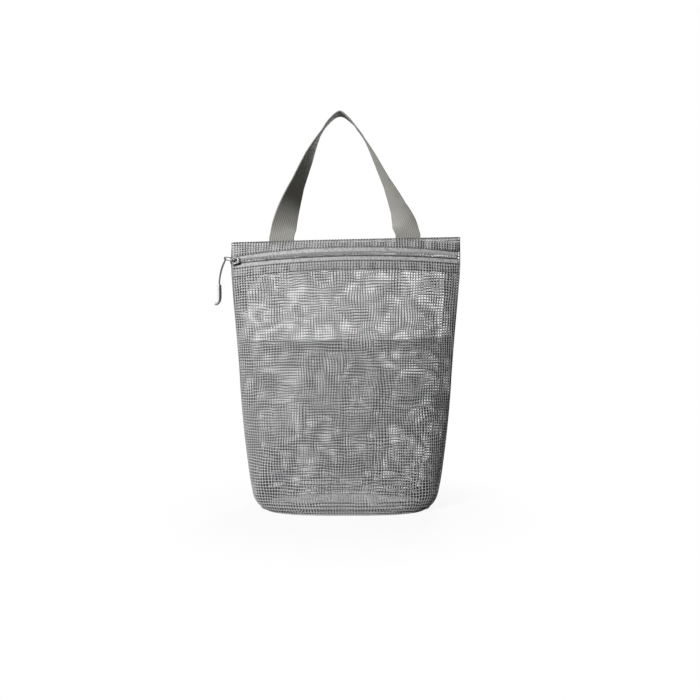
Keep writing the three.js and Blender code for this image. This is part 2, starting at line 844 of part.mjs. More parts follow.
// One strand, from the eye down to the grip: [away along the bail, to the side, down]
const strandPoints = [
  [0, 0, 0],
  [0.05, 0.95, 0.25],
  [0.2, 1.8, 1.1],
  [0.7, 2.2, 2.6],
  [1.9, 2.15, 5.4],
  [3.3, 1.9, 9],
  [4.6, 1.5, 13.8],
  [5.6, 1.1, 19.2],
  [6.1, 0.85, 24],
  [6.15, 0.8, 25.8],
];
const cordPoints = [
  ...strandPoints.slice(1).reverse(),
  ...strandPoints.map(([away, side, drop]) => [away, -side, drop]),
].map(([away, side, drop]) => fromEye(away, side, drop));

function cord() {
  const path = new THREE.CatmullRomCurve3(cordPoints);
  const radius = cordDiameter / 2;
  const section = new THREE.Shape();
  section.absarc(0, 0, radius, 0, 2 * Math.PI, false);
  const steps = Math.round(path.getLength() / cordDiameter);
  return new THREE.ExtrudeGeometry(section, { steps, extrudePath: path, curveSegments: 4, bevelEnabled: false });
}

add("pull_cord", cord(), darkCord);

// Grip: an oval bar below the cord's ends, whose tip curls away. Its stations are shares of its width, measured from
// its top, and how thick it is there.
const gripStations = [
  { away: 0, drop: 0, size: 0.8 },
  { away: 0, drop: 0.12, size: 0.94 },
  { away: -0.01, drop: 0.82, size: 1 },
  { away: -0.04, drop: 2.02, size: 1 },
  { away: -0.01, drop: 3.12, size: 1 },
  { away: 0.17, drop: 3.92, size: 0.95 },
  { away: 0.59, drop: 4.47, size: 0.82 },
  { away: 1.04, drop: 4.62, size: 0.6 },
  { away: 1.17, drop: 4.62, size: 0.35 },
];
const gripSides = 8;

function grip() {
  const [topAway, , topDrop] = strandPoints.at(-1);
  const middles = gripStations.map(({ away, drop }) =>
    fromEye(topAway + away * gripWidth, 0, topDrop + gap + drop * gripWidth),
  );
  const rings = middles.map((place, i) => {
    const before = middles[Math.max(i - 1, 0)];
    const after = middles[Math.min(i + 1, middles.length - 1)];
    const ahead = after.clone().sub(before).normalize();
    const across = bailSide.clone().cross(ahead).normalize();
    const { size } = gripStations[i];
    return evenly(0, 2 * Math.PI, gripSides)
      .slice(0, gripSides)
      .map((turn) =>
        place
          .clone()
          .addScaledVector(bailSide, (size * gripThickness * Math.cos(turn)) / 2)
          .addScaledVector(across, (-size * gripWidth * Math.sin(turn)) / 2),
      );
  });
  return loft(rings);
}

add("pull_grip", grip(), gripFinish);

// Handle: the strap faces the front at its ends and turns on edge over the top
const foldHeight = bagHeight + strapStub;
const strapMiddle = strapBack - strapThickness / 2;

// Places along the loop: x as a share of the nearer leg's place, and height as a share of the rise
const handleShares = [
  [-1, 0],
  [-0.89, 0.222],
  [-0.685, 0.508],
  [-0.437, 0.795],
  [-0.268, 0.935],
  [-0.09, 1],
  [0.07, 0.945],
  [0.288, 0.795],
  [0.578, 0.508],
  [0.838, 0.222],
  [1, 0],
];
const handleSteps = 44;
const settleShare = 0.12; // of the loop, over which the strap leaves the fold line square to it

function handlePath() {
  const places = handleShares.map(([across, rise]) => {
    const x = across * (across < 0 ? leftLegPlace : rightLegPlace);
    return vector(x, strapMiddle, foldHeight + cornerLift * (x / topHalfWidth) + rise * handleRise);
  });
  return new THREE.CatmullRomCurve3(places, false, "centripetal");
}

// How far the strap's front has turned toward the inside of the loop, as a share of a quarter turn, from its left
// end to its right one
const turnShares = [0.05, 0.42, 0.73, 0.87, 1.12, 1.13, 1.17, 1.02, 0.9, 0.63, 0.05];

function turnAt(share) {
  const at = share * (turnShares.length - 1);
  const i = Math.min(Math.floor(at), turnShares.length - 2);
  return (mix(turnShares[i], turnShares[i + 1], at - i) * Math.PI) / 2;
}

// The strap's ends are rounded off below the fold line, by rings at these shares of a quarter turn
const endTurns = [0.85, 0.6, 0.3];

function handle() {
  const path = handlePath();
  const foldLine = vector(1, 0, cornerLift / topHalfWidth).normalize();
  const ringAt = (share, endTurn = 0) => {
    const place = path.getPointAt(share);
    const ahead = path.getTangentAt(share);
    const inward = vector(0, 1, 0).cross(ahead).normalize();
    const turn = turnAt(share);
    const face = vector(0, -Math.cos(turn), 0).addScaledVector(inward, Math.sin(turn)).normalize();
    const across = face.clone().cross(ahead).normalize();
    const settled = smooth(Math.min(share, 1 - share) / settleShare);
    across.lerp(foldLine.clone().multiplyScalar(Math.sign(across.x)), 1 - settled).normalize();
    face.lerp(vector(0, -1, 0), 1 - settled).normalize();
    place.addScaledVector(foldLine.clone().cross(vector(0, 1, 0)), (-Math.sin(endTurn) * strapThickness) / 2);
    const halfWide = across.multiplyScalar(strapWidth / 2);
    const halfThick = face.multiplyScalar((Math.cos(endTurn) * strapThickness) / 2);
    return [
      place.clone().sub(halfWide).sub(halfThick),
      place.clone().add(halfWide).sub(halfThick),
      place.clone().add(halfWide).add(halfThick),
      place.clone().sub(halfWide).add(halfThick),
    ];
  };
  const quarters = endTurns.map((turn) => (turn * Math.PI) / 2);
  return loft([
    ...quarters.map((turn) => ringAt(0, turn)),
    ...evenly(0, 1, handleSteps).map((share) => ringAt(share)),
    ...quarters.reverse().map((turn) => ringAt(1, turn)),
  ]);
}

add("handle_loop", handle(), webbing);

// Sewn ends: each stands between the band and the back panel and reaches up to the fold
function sewnEnd(place) {
  const along = vector(1, 0, cornerLift / topHalfWidth).normalize();
  const rings = [-sewnLength, strapStub - strapThickness / 2 - 1.5 * gap].map((rise) => {
    const middle = vector(place, strapMiddle, bagHeight + cornerLift * (place / topHalfWidth) + rise);
    const corner = (side, face) =>
      middle
        .clone()
        .addScaledVector(along, (side * strapWidth) / 2)
        .add(vector(0, (face * strapThickness) / 2, 0));
    return [corner(-1, -1), corner(1, -1), corner(1, 1), corner(-1, 1)];
  });
  return loft(rings);
}

add("handle_end_left", sewnEnd(-leftLegPlace), webbing);
add("handle_end_right", sewnEnd(rightLegPlace), webbing);

export default bag;
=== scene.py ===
# %% [markdown]
# # A mesh toiletry bag
# A soft upright bag of grey coated net stands on its flat oval base. A zip runs across its face just below
# the top edge, a webbing strap loops over it, and a net pocket is sewn to its back wall.
#
# The imported model already holds every size, body and hinge. This scene dresses it: real net with real
# holes, woven tape, a wound coil, thread, cord and metal. Each piece is worked out as a surface with numpy,
# and all but the strap ride on the body that carries it.

import json

import bpy
import numpy as np
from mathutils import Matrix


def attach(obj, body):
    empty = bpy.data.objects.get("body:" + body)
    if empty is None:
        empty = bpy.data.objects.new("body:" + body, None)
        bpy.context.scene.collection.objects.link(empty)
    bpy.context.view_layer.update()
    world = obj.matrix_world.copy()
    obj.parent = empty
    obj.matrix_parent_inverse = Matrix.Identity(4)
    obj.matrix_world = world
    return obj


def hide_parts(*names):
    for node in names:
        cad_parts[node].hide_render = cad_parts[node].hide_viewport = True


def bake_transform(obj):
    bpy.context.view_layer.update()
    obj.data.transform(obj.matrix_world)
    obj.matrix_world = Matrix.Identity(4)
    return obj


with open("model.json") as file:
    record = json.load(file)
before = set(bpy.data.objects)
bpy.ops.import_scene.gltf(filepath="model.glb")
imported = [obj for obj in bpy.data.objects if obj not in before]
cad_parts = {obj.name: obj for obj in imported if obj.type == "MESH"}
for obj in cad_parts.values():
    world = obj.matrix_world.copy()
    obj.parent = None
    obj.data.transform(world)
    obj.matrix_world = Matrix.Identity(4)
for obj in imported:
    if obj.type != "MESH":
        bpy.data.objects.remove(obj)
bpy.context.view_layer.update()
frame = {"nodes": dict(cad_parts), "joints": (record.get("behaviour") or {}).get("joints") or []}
joints = {joint["name"]: joint for joint in frame["joints"]}
mm = 0.001
up = np.array([0.0, 0.0, 1.0])
forward = np.array([0.0, -1.0, 0.0])


def add_object(name, data):
    """A new object of the scene that shows these data."""
    made = bpy.data.objects.new(name, data)
    bpy.context.scene.collection.objects.link(made)
    return made


# %% [markdown]
# ## Camera
# The picture was taken from straight in front, at about half the bag's height and 60 cm away: the top edge
# and the base both curve away from that height. A level camera keeps the bag's sides upright, and a small
# shift puts the horizon where the picture has it, without tilting the lens.

# %% Camera
image_size = 700
focal_pixels = 597
horizon_row = 365
eye_place = np.array([4.3, -600, 140]) * mm

lens = bpy.data.cameras.new("camera")
lens.lens = lens.sensor_width * focal_pixels / image_size
lens.shift_y = (horizon_row - image_size / 2) / image_size
camera = add_object("camera", lens)
camera.location = eye_place
camera.rotation_euler = (np.pi / 2, 0, 0)
bpy.context.scene.camera = camera
print("lens", round(lens.lens, 2), "mm, shift", round(lens.shift_y, 4))

# %% [markdown]
# ## Curves and grids
# A few helpers serve the whole bag. A smooth path runs through given points, as a bent cord or strap does,
# and a smooth value is read between the rows of a short table, such as the bag's width by height.
# They all give whole arrays, so no surface is built point by point.

# %% Smooth steps, tables and paths
def unit(vectors):
    """Vectors divided by their own length."""
    return vectors / np.linalg.norm(vectors, axis=-1, keepdims=True)


def smooth(share):
    """An even step from 0 to 1: 3t^2 - 2t^3, level at both ends."""
    t = np.clip(share, 0, 1)
    return t * t * (3 - 2 * t)


def mixed(a, b, share):
    """a at share 0 and b at share 1, in a straight line between them."""
    return a + (b - a) * share


def blunt(value, power):
    """A value's sign times its size to a power: with a power under 1 it turns the sines of a circle into
    those of a squarer oval."""
    return np.sign(value) * np.abs(value) ** power


def turns(count):
    """Angles at even steps once round."""
    return np.linspace(0, 2 * np.pi, count, endpoint=False)


def read_table(known, values, wanted):
    """A smooth curve through a table: cubic pieces whose slopes come from the rows on either side."""
    rows = np.arange(len(known))
    before = np.maximum(rows - 1, 0)
    after = np.minimum(rows + 1, rows[-1])
    slopes = (values[after] - values[before]) / (known[after] - known[before])
    i = np.clip(np.searchsorted(known, wanted) - 1, 0, len(known) - 2)
    span = known[i + 1] - known[i]
    t = (wanted - known[i]) / span
    rise = values[i + 1] - values[i]
    first = slopes[i] * span - rise
    second = rise - slopes[i + 1] * span
    return values[i] + rise * t + t * (1 - t) * (first * (1 - t) + second * t)


def lengths_along(path):
    """The distance from the start of a path to each of its points."""
    steps = np.linalg.norm(np.diff(path, axis=0), axis=1)
    return np.concatenate([[0], np.cumsum(steps)])


def at_lengths(path, wanted, carried=None):
    """Points of a path, or the vectors that they carry, at these distances from its start."""
    known = lengths_along(path)
    rows = path if carried is None else carried
    return np.stack([np.interp(wanted, known, column) for column in rows.T], 1)


path_fineness = 60


def smooth_path(points, count):
    """A smooth curve through points, at even steps of its length. Each piece is the cubic whose end slopes
    are weighted by the square roots of the distances between the points around it."""
    ends = np.concatenate([2 * points[:1] - points[1:2], points, 2 * points[-1:] - points[-2:-1]])
    p0, p1, p2, p3 = ends[:-3], ends[1:-2], ends[2:-1], ends[3:]
    d0, d1, d2 = (np.sqrt(np.linalg.norm(b - a, axis=1))[:, None] for a, b in ((p0, p1), (p1, p2), (p2, p3)))
    start = ((p1 - p0) / d0 - (p2 - p0) / (d0 + d1) + (p2 - p1) / d1) * d1
    stop = ((p2 - p1) / d1 - (p3 - p1) / (d1 + d2) + (p3 - p2) / d2) * d1
    t = np.linspace(0, 1, path_fineness, endpoint=False)[None, :, None]
    p1, p2, start, stop = (value[:, None] for value in (p1, p2, start, stop))
    square = 3 * (p2 - p1) - 2 * start - stop
    cube = 2 * (p1 - p2) + start + stop
    fine = (p1 + start * t + square * t**2 + cube * t**3).reshape(-1, 3)
    fine = np.concatenate([fine, points[-1:]])
    return at_lengths(fine, np.linspace(0, lengths_along(fine)[-1], count))


# %% Parts of a mesh: points, faces and the faces' texture places
cell_corners = ((0, 0), (1, 0), (1, 1), (0, 1))


def grid_part(points, u, v, keep=None, wrap=False):
    """Quads over a grid of points with rows going up and columns to the right, seen from outside. keep
    picks cells. With wrap the last column joins the first, and u has one more value than there are
    columns."""
    rows, columns = points.shape[:2]
    i, j = np.meshgrid(np.arange(rows - 1), np.arange(columns if wrap else columns - 1), indexing="ij")
    faces = np.stack([(i + above) * columns + (j + right) % columns for right, above in cell_corners], -1)
    places = np.stack([np.stack([u[j + right], v[i + above]], -1) for right, above in cell_corners], -2)
    picked = np.ones(i.shape, bool) if keep is None else keep
    return points.reshape(-1, 3), [faces[picked]], [places[picked]]


def tube_part(rings, v, u=None):
    """A closed tube over rings of points, which run anticlockwise about the way the rings go, with both
    ends closed by the first and the last ring. u goes from 0 to 1 round it if it isn't given."""
    count = rings.shape[1]
    points, faces, places = grid_part(rings, np.linspace(0, 1, count + 1) if u is None else u, v, wrap=True)
    first = np.arange(count)[::-1][None]
    last = (np.arange(count) + (len(rings) - 1) * count)[None]
    ends = np.zeros((1, count, 2))
    return points, [*faces, first, last], [*places, ends, ends]


def joined(parts):
    """Several parts as one, with their faces counted on."""
    offsets = np.concatenate([[0], np.cumsum([len(part[0]) for part in parts])])
    points = np.concatenate([part[0] for part in parts])
    faces = [group + offset for part, offset in zip(parts, offsets) for group in part[1]]
    places = [group for part in parts for group in part[2]]
    return points, faces, places


def make_piece(name, part, finish, body=None, stands_for=(), thickness=0):
    """A smooth-shaded mesh object at the origin, with its finish and body. thickness gives a sheet its two
    faces, half on each side."""
    points, faces, places = part
    mesh = bpy.data.meshes.new(name)
    cells = [cell for group in faces for cell in group.tolist()]
    mesh.from_pydata(points.tolist(), [], cells, shade_flat=False)
    layer = mesh.uv_layers.new(name="weave")
    layer.data.foreach_set("uv", np.concatenate([group.ravel() for group in places]).astype(np.float32))
    mesh.materials.append(finish)
    piece = add_object(name, mesh)
    if thickness:
        wall = piece.modifiers.new("thickness", "SOLIDIFY")
        wall.thickness = thickness
        wall.offset = 0
    if body:
        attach(piece, body)
    if stands_for:
        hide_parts(*stands_for)
    print(name, len(points), "points", len(cells), "faces")
    return piece


# %% [markdown]
# ## Shader sums
# A finish is worked out the way a surface is, as sums over the piece's own texture places. One small class
# wraps a socket, so that a sum such as `1 - groove * 0.3` adds its Math nodes by itself, and every other
# node comes from its one method. Greys are given as one number.

# %% A socket that can be used in sums
def opaque(colour):
    """Red, green, blue and a full alpha, of three numbers or of one for a grey."""
    return (*np.broadcast_to(colour, 3).tolist(), 1)


class Wire:
    """An output socket of a finish. Sums of wires and numbers add Math nodes."""

    def __init__(self, tree, socket=None):
        self.tree = tree
        self.socket = socket

    def node(self, kind, settings=None, values=None, output=0):
        """Adds a node of a kind: its settings first, then the numbers or links of its sockets. Gives an
        output."""
        made = self.tree.nodes.new(kind)
        for name, value in (settings or {}).items():
            setattr(made, name, value)
        for name, value in (values or {}).items():
            if isinstance(value, Wire):
                self.tree.links.new(value.socket, made.inputs[name])
            else:
                made.inputs[name].default_value = value
        return Wire(self.tree, made.outputs[output] if len(made.outputs) else None)

    def beside(self, output):
        """Another output of the same node."""
        return Wire(self.tree, self.socket.node.outputs[output])

    def math(self, operation, *values):
        """One Math node."""
        return self.node("ShaderNodeMath", {"operation": operation}, dict(enumerate(values)))

    def __add__(self, other):
        return self.math("ADD", self, other)

    def __radd__(self, other):
        return self.math("ADD", other, self)

    def __sub__(self, other):
        return self.math("SUBTRACT", self, other)

    def __rsub__(self, other):
        return self.math("SUBTRACT", other, self)

    def __mul__(self, other):
        return self.math("MULTIPLY", self, other)

    def __truediv__(self, other):
        return self.math("DIVIDE", self, other)

    def clamped(self):
        """The value, kept between 0 and 1."""
        return self.math("MAXIMUM", self.math("MINIMUM", self, 1), 0)

    def from_centre(self):
        """How far the value lies from its nearest whole number, from 0 to a half."""
        return self.math("ABSOLUTE", self - self.math("ROUND", self))

    def wave(self, cycles):
        """The sine of the value, with this many full waves for each 1."""
        return self.math("SINE", self * (2 * np.pi * cycles))

    def colours(self, dark, light):
        """A colour that goes from dark at 0 to light at 1, which may be a wire."""
        shades = {0: self, 6: opaque(dark), 7: light if isinstance(light, Wire) else opaque(light)}
        return self.node("ShaderNodeMix", {"data_type": "RGBA"}, shades, 2)

    def principled(self, values):
        """A Principled shader with these values."""
        return self.node("ShaderNodeBsdfPrincipled", values=values)


def make_finish(name, look, *choices):
    """A new material with the surface that look makes, from a wire that can add its nodes."""
    finish = bpy.data.materials.new(name)
    finish.use_nodes = True
    finish.node_tree.nodes.clear()
    wire = Wire(finish.node_tree)
    wire.node("ShaderNodeOutputMaterial", values={"Surface": look(wire, *choices)})
    return finish


def weave_places(wire):
    """The two texture places of a piece, across and along its cloth."""
    places = wire.node("ShaderNodeUVMap", {"uv_map": "weave"})
    across = wire.node("ShaderNodeSeparateXYZ", values={0: places})
    return across, across.beside(1)


def grain(wire, scale, detail=2.0):
    """Soft noise on the piece's own coordinates, from 0 to 1."""
    places = wire.node("ShaderNodeTexCoord", output=3)
    return wire.node("ShaderNodeTexNoise", values={"Vector": places, "Scale": scale, "Detail": detail})


def raised(wire, height, distance):
    """A bump that stands as high as distance where height is 1."""
    return wire.node("ShaderNodeBump", values={"Height": height, "Distance": distance, "Strength": 1.0})


# %% [markdown]
# ## Pull cord
# A loop of thin dark cord goes through the bail's tip, and both its strands run down into a moulded grip.
# It is 57 mm of two-ply cord, and the photograph shows it from end to end. The route hangs down from the
# bail and swings a little clear of the cloth. The cord could be a bevelled curve, but a mesh tube lets the
# two plies show as a real twist, so the section is a circle with two soft lobes that turn as it goes.

# %% Route of the cord
bail_length = 10.5 * mm
cord_diameter = 1.1 * mm
ply_pitch = 1.6  # mm of cord from one ply's crown to the next
fibre_pitch = 0.35  # mm
fibre_relief = 0.03 * mm
ply_depth = 0.12  # how far the crowns stand out, as a share of the radius
cord_rings = 240
cord_sides = 12

eye = np.array(joints["pull_swing"]["pos_m"])
bail_pivot = np.array(joints["bail_flip"]["pos_m"])
away = unit((eye - bail_pivot) * [1, 1, 0])
bail_side = np.cross(up, away)
through = -np.array(joints["pull_swing"]["axis"])


def from_eye(places):
    """Points by their distance away from the slider, to the side and down: the side turns level as it
    drops."""
    by_away, by_side, drop = (places[..., axis, None] for axis in range(3))
    sideways = mixed(through, bail_side, smooth(drop / bail_length))
    return eye + away * by_away + sideways * by_side - up * drop


strand_points = np.array([
    [0, 0, 0],
    [0.05, 0.95, 0.25],
    [0.2, 1.8, 1.1],
    [0.7, 2.2, 2.6],
    [1.9, 2.15, 5.4],
    [3.3, 1.9, 9],
    [4.6, 1.5, 13.8],
    [5.6, 1.1, 19.2],
    [6.1, 0.85, 24],
    [6.15, 0.8, 25.8],
]) * mm
cord_points = from_eye(np.concatenate([strand_points[:0:-1], strand_points * [1, -1, 1]]))
cord_path = smooth_path(cord_points, cord_rings)
print("cord length", round(lengths_along(cord_path)[-1] / mm, 1), "mm")


# %% Cord and its finish
def rings_along(path, across, out, profile):
    """A profile carried along a path: each ring's points are the path's point plus the profile's two
    numbers times the directions across and out. profile is one ring, or one ring for each point of the
    path."""
    return path[:, None] + across[:, None] * profile[..., 0, None] + out[:, None] * profile[..., 1, None]


def cord_look(wire):
    """Dark cord: two plies with fine slanting fibres, their crowns painted lighter as painted light."""
    around, along = weave_places(wire)
    ply = (around * 2 - along / ply_pitch).wave(1) * 0.5 + 0.5
    fibre = (around * 5 + along / fibre_pitch).wave(1) * 0.5 + 0.5
    return wire.principled({
        # ply paints the crowns lighter, as painted light
        "Base Color": (ply * 0.6 + fibre * 0.4).colours((0.035, 0.035, 0.036), (0.13, 0.13, 0.135)),
        "Roughness": 0.75,
        "Normal": raised(wire, fibre, fibre_relief),
    })


def make_cord():
    """The cord's surface: radius r (1 + depth cos(2 (turn - twist))), carried along the route."""
    ahead = unit(np.gradient(cord_path, axis=0))
    across = unit(np.cross(away, ahead))
    distance = lengths_along(cord_path) / mm
    turn = turns(cord_sides)
    twist = distance[:, None] * np.pi / ply_pitch
    radius = cord_diameter / 2 * (1 + ply_depth * np.cos(2 * (turn - twist)))
    profile = np.stack([radius * np.cos(turn), radius * np.sin(turn)], -1)
    part = tube_part(rings_along(cord_path, across, np.cross(ahead, across), profile), distance)
    return make_piece("cord_loop", part, make_finish("dark cord", cord_look), "pull", ["pull_cord"])


cord_loop = make_cord()

# %% [markdown]
# ## Grip
# The cord's ends are moulded into a short oval bar whose lower tip curls away from the bag. Half of it is
# light grey and half dark. It is an oval ring that grows, stays and tapers along a curved middle line, so a
# table of a few stations is read smoothly at many places.

# %% Grip
grip_width = 4.2 * mm
grip_thickness = 3.6 * mm
clearance = 0.3 * mm
grip_rings = 61
grip_sides = 32
grip_rounding = 0.4  # stations over which each end is rounded
grip_cap_share = 0.15  # of the rounding, left off at each end, which closes with a small flat cap
grip_join_width = 0.5 * mm  # over which one grey changes to the other
grip_grain_relief = 0.05 * mm
# Stations as shares of the width: away from the cord's end, down from it, and how thick the grip is there
grip_shares = np.array([
    [0, 0, 0.8],
    [0, 0.12, 0.94],
    [-0.01, 0.82, 1],
    [-0.04, 2.02, 1],
    [-0.01, 3.12, 1],
    [0.17, 3.92, 0.95],
    [0.59, 4.47, 0.82],
    [1.04, 4.62, 0.6],
    [1.17, 4.62, 0.35],
])


def grip_look(wire, middle):
    """Moulded plastic in two greys that meet along the grip's middle, with a fine satin grain."""
    across = wire.node("ShaderNodeSeparateXYZ", values={0: wire.node("ShaderNodeTexCoord", output=3)})
    side = ((across - middle) / grip_join_width + 0.5).clamped()
    cloudy = grain(wire, 900)
    return wire.principled({
        "Base Color": (side * 0.9 + cloudy * 0.1).colours((0.62, 0.61, 0.6), (0.05, 0.05, 0.052)),
        "Roughness": cloudy * 0.2 + 0.32,
        "Normal": raised(wire, cloudy, grip_grain_relief),
    })


def make_grip():
    """The grip's surface: ovals of width and thickness times the station's size, square to the middle
    line."""
    stations = np.linspace(0, len(grip_shares) - 1, grip_rings)
    known = np.arange(len(grip_shares), dtype=float)
    by_away, drop, size = (read_table(known, grip_shares[:, axis], stations) for axis in range(3))
    top = strand_points[-1] * [1, 0, 1] + [0, 0, clearance]
    middle = from_eye(top + np.stack([by_away, 0 * drop, drop], -1) * grip_width)
    ahead = unit(np.gradient(middle, axis=0))
    across = unit(np.cross(bail_side, ahead))
    from_end = np.minimum(stations, known[-1] - stations)
    rounding = np.sqrt(1 - (1 - np.clip(from_end / grip_rounding, grip_cap_share, 1)) ** 2)
    turn = turns(grip_sides)
    half = (size * rounding / 2)[:, None]
    profile = np.stack([half * grip_thickness * np.cos(turn), -half * grip_width * np.sin(turn)], -1)
    rings = rings_along(middle, np.broadcast_to(bail_side, middle.shape), across, profile)
    finish = make_finish("moulded grip", grip_look, middle[len(middle) // 3, 0])
    return make_piece("moulded_grip", tube_part(rings, stations), finish, "pull", ["pull_grip"])


moulded_grip = make_grip()

# %% [markdown]
# ## The bag's shape
# The bag is one lofted tube of cloth. Every level section is a soft oblong: square and deep at the base, a
# thin lens near the zip. The cloth's way round stays the same at every height, because it is cut from
# straight lengths, so the taper that the sides lose goes into depth. A short table holds width, depth and
# squareness by height, and the sections are taken at even steps of arc length, so that the net's upright
# yarns keep their distance.

# %% Sizes of the bag
bag_height = 265.6 * mm
top_half_width = 115 * mm
base_half_depth = 46 * mm
corner_lift = 2.7 * mm
zip_end_inset = 1 * mm
zip_drop = 20.6 * mm
zip_half_span = top_half_width - zip_end_inset
zip_end_height = bag_height - zip_drop
zip_bulge = 12.8 * mm
zip_bow = 3.4 * mm
tape_width = 16 * mm
bare_tape = 6 * mm

# Shares of the height, top half width and base half depth; then the powers of the section's curve
body_shares = np.array([
    # height, width, front, back, squareness, fullness
    [0, 0.68, 1, 0.935, 2.8, 2.8],
    [0.0226, 0.745, 0.93, 0.88, 3, 3],
    [0.06, 0.786, 0.87, 0.84, 3.1, 3.1],
    [0.15, 0.83, 0.804, 0.804, 2.9, 2.6],
    [0.377, 0.897, 0.685, 0.685, 2.5, 1.8],
    [0.621, 0.944, 0.566, 0.566, 2.2, 1.3],
    [0.772, 0.976, 0.435, 0.435, 2.1, 1.1],
    [0.904, 1, 0.299, 0.239, 2, 1],
    [1, 1, 0.187, 0, 2, 1],
])


# %% Walls
section_steps = 160
width_steps = 400


def body_column(column, height):
    """One column of the body's table at these heights."""
    return read_table(body_shares[:, 0], body_shares[:, column], height / bag_height)


def lift(x, height):
    """How far the cloth stands above its level at x: the right corner is held a little higher."""
    return corner_lift * (x / top_half_width) * (height / bag_height)


def half_section(s, height, side):
    """Points of the front half (side -1) or the back half (1) of the body at each height, one row each, at
    s from -1 at the left seam to 1 at the right: x = a |cos|^(2/squareness), y = depth |sin|^(2/fullness),
    at even steps of arc length."""
    half_width = top_half_width * body_column(1, height)[:, None]
    depth = base_half_depth * body_column(2 if side < 0 else 3, height)[:, None]
    squareness = body_column(4, height)[:, None]
    fullness = body_column(5, height)[:, None]
    turn = np.linspace(np.pi, 0, section_steps + 1)
    x = half_width * blunt(np.cos(turn), 2 / squareness)
    y = side * depth * np.sin(turn).clip(0) ** (2 / fullness)
    y[:, [0, -1]] = 0
    steps = np.hypot(np.diff(x), np.diff(y))
    lengths = np.concatenate([np.zeros((len(steps), 1)), np.cumsum(steps, 1)], 1)
    apart = 2 * np.arange(len(height))[:, None]
    known = (lengths / lengths[:, -1:] + apart).ravel()
    wanted = ((s + 1) / 2 + apart).ravel()
    x, y = (np.interp(wanted, known, values.ravel()).reshape(len(height), len(s)) for values in (x, y))
    return np.stack([x, y, height[:, None] + lift(x, height[:, None])], -1)


def back_wall(s, height):
    """Points of the back wall on the seams' surface, one row for each height."""
    return half_section(s, height, 1)


middle_section = back_wall(np.linspace(-1, 1, width_steps), np.array([bag_height / 2]))[0]
cloth_half = lengths_along(middle_section)[-1] / 2
print("half the cloth's width", round(cloth_half / mm, 1), "mm")

# %% [markdown]
# ## The zip's line
# The zip is an arc of a circle: its ends are sewn into the side seams, and its middle stands forward of
# them and a little above. The front wall below it leaves its own section and turns into that arc, and the
# band above it runs straight back to the top edge.

# %% Zip arc
def corner_place(side):
    """One end of the zip, on the side seam."""
    x = side * zip_half_span
    return np.array([x, 0, zip_end_height + lift(x, zip_end_height)])


def arc_through(a, b, c):
    """Centre, axis, radius and angle of the circle through three points."""
    ab, ac = b - a, c - a
    normal = np.cross(ab, ac)
    to_centre = np.cross(normal, ab) * (ac @ ac) + np.cross(ac, normal) * (ab @ ab)
    centre = a + to_centre / (2 * normal @ normal)
    arms = unit(np.stack([a, c]) - centre)
    return centre, unit(normal), np.linalg.norm(a - centre), np.arccos(arms[0] @ arms[1])


zip_start = corner_place(-1)
zip_centre, zip_up, zip_radius, zip_angle = arc_through(
    zip_start, np.array([0, -zip_bulge, zip_end_height + zip_bow]), corner_place(1)
)
zip_length = zip_radius * zip_angle
print("zip", round(zip_length / mm, 1), "mm on a radius of", round(zip_radius / mm, 1), "mm")


def zip_out(along):
    """The direction out of the zip at each distance along it: its first arm, turned about the arc's
    axis."""
    arm = unit(zip_start - zip_centre)
    turn = (along / zip_radius)[..., None]
    return arm * np.cos(turn) + np.cross(zip_up, arm) * np.sin(turn)


def zip_point(along, across, out):
    """Points by their distance along the zip, across it and out of it."""
    upward = zip_up * np.asarray(across)[..., None]
    return zip_centre + zip_out(along) * (zip_radius + out)[..., None] + upward


# %% Front wall and the surface round the zip
panel_top = zip_end_height - bare_tape * zip_up[2]
turn_height = 2 * tape_width


def plain_front(s, height):
    """The front wall's own section, with its middle lifted by the zip's bow."""
    bow = zip_bow * (1 - s * s) * (height[:, None] / zip_end_height) ** 2
    return half_section(s, height, -1) + up * bow[..., None]


def front_wall(s, height):
    """The front wall: its section turns into the zip's arc over the last stretch below it."""
    along = (s + 1) / 2 * zip_length
    miss = zip_point(along, -bare_tape, 0 * along) - plain_front(s, np.array([panel_top]))[0]
    share = smooth((height - panel_top + turn_height) / turn_height)
    return plain_front(s, height) + miss * share[:, None, None]


def top_edge(s):
    """The bag's top edge, straight from corner to corner."""
    return np.stack([top_half_width * s, 0 * s, bag_height + corner_lift * s], -1)


middle_along = np.array([zip_length / 2])
band_run = np.linalg.norm(top_edge(np.zeros(1)) - zip_point(middle_along, bare_tape, 0 * middle_along))


def zip_zone(s, across):
    """Points near the zip, one row for each distance across it: front wall below, arc at the bare tape, and
    straight to the top edge above."""
    along = np.broadcast_to((s + 1) / 2 * zip_length, (len(across), len(s)))
    rows = across[:, None]
    on_arc = zip_point(along, np.clip(rows, -bare_tape, bare_tape) + 0 * along, 0 * along)
    to_edge = top_edge(s) - zip_point(along, bare_tape + 0 * along, 0 * along)
    above = np.clip((rows - bare_tape) / band_run, 0, None)[..., None]
    below = front_wall(s, np.minimum(panel_top + bare_tape + across, panel_top))
    return np.where(rows[..., None] < -bare_tape, below, on_arc + to_edge * above)


def facing(points):
    """The outward direction at each point of a grid seen from outside, columns to the right and rows
    upward."""
    return unit(np.cross(np.gradient(points, axis=1), np.gradient(points, axis=0)))


# %% [markdown]
# ## Coated net
# The cloth is an open square net: yarn 0.86 mm wide, coated and bonded where it crosses, 2.65 mm from yarn
# to yarn. Light falls through it, and where two or three layers lie behind each other their holes drift in
# and out of step and draw soft rings. A picture of holes can't do that from other sides, so the holes are
# real. The grid has a line along each edge of every yarn, the cells between yarns are left out, and
# Solidify gives the rest its thickness. That is twenty triangles for each hole.
#
# Seen through its own holes the cloth looks nearly black inside. Its inner face is painted dark, a painted
# shade that gives it that depth without a darkened room, so the outer faces keep their light.

# %% Net
net_pitch = 2.65 * mm
yarn_width = 0.86 * mm
yarn_thickness = 0.45 * mm
yarn_relief = 0.25 * mm


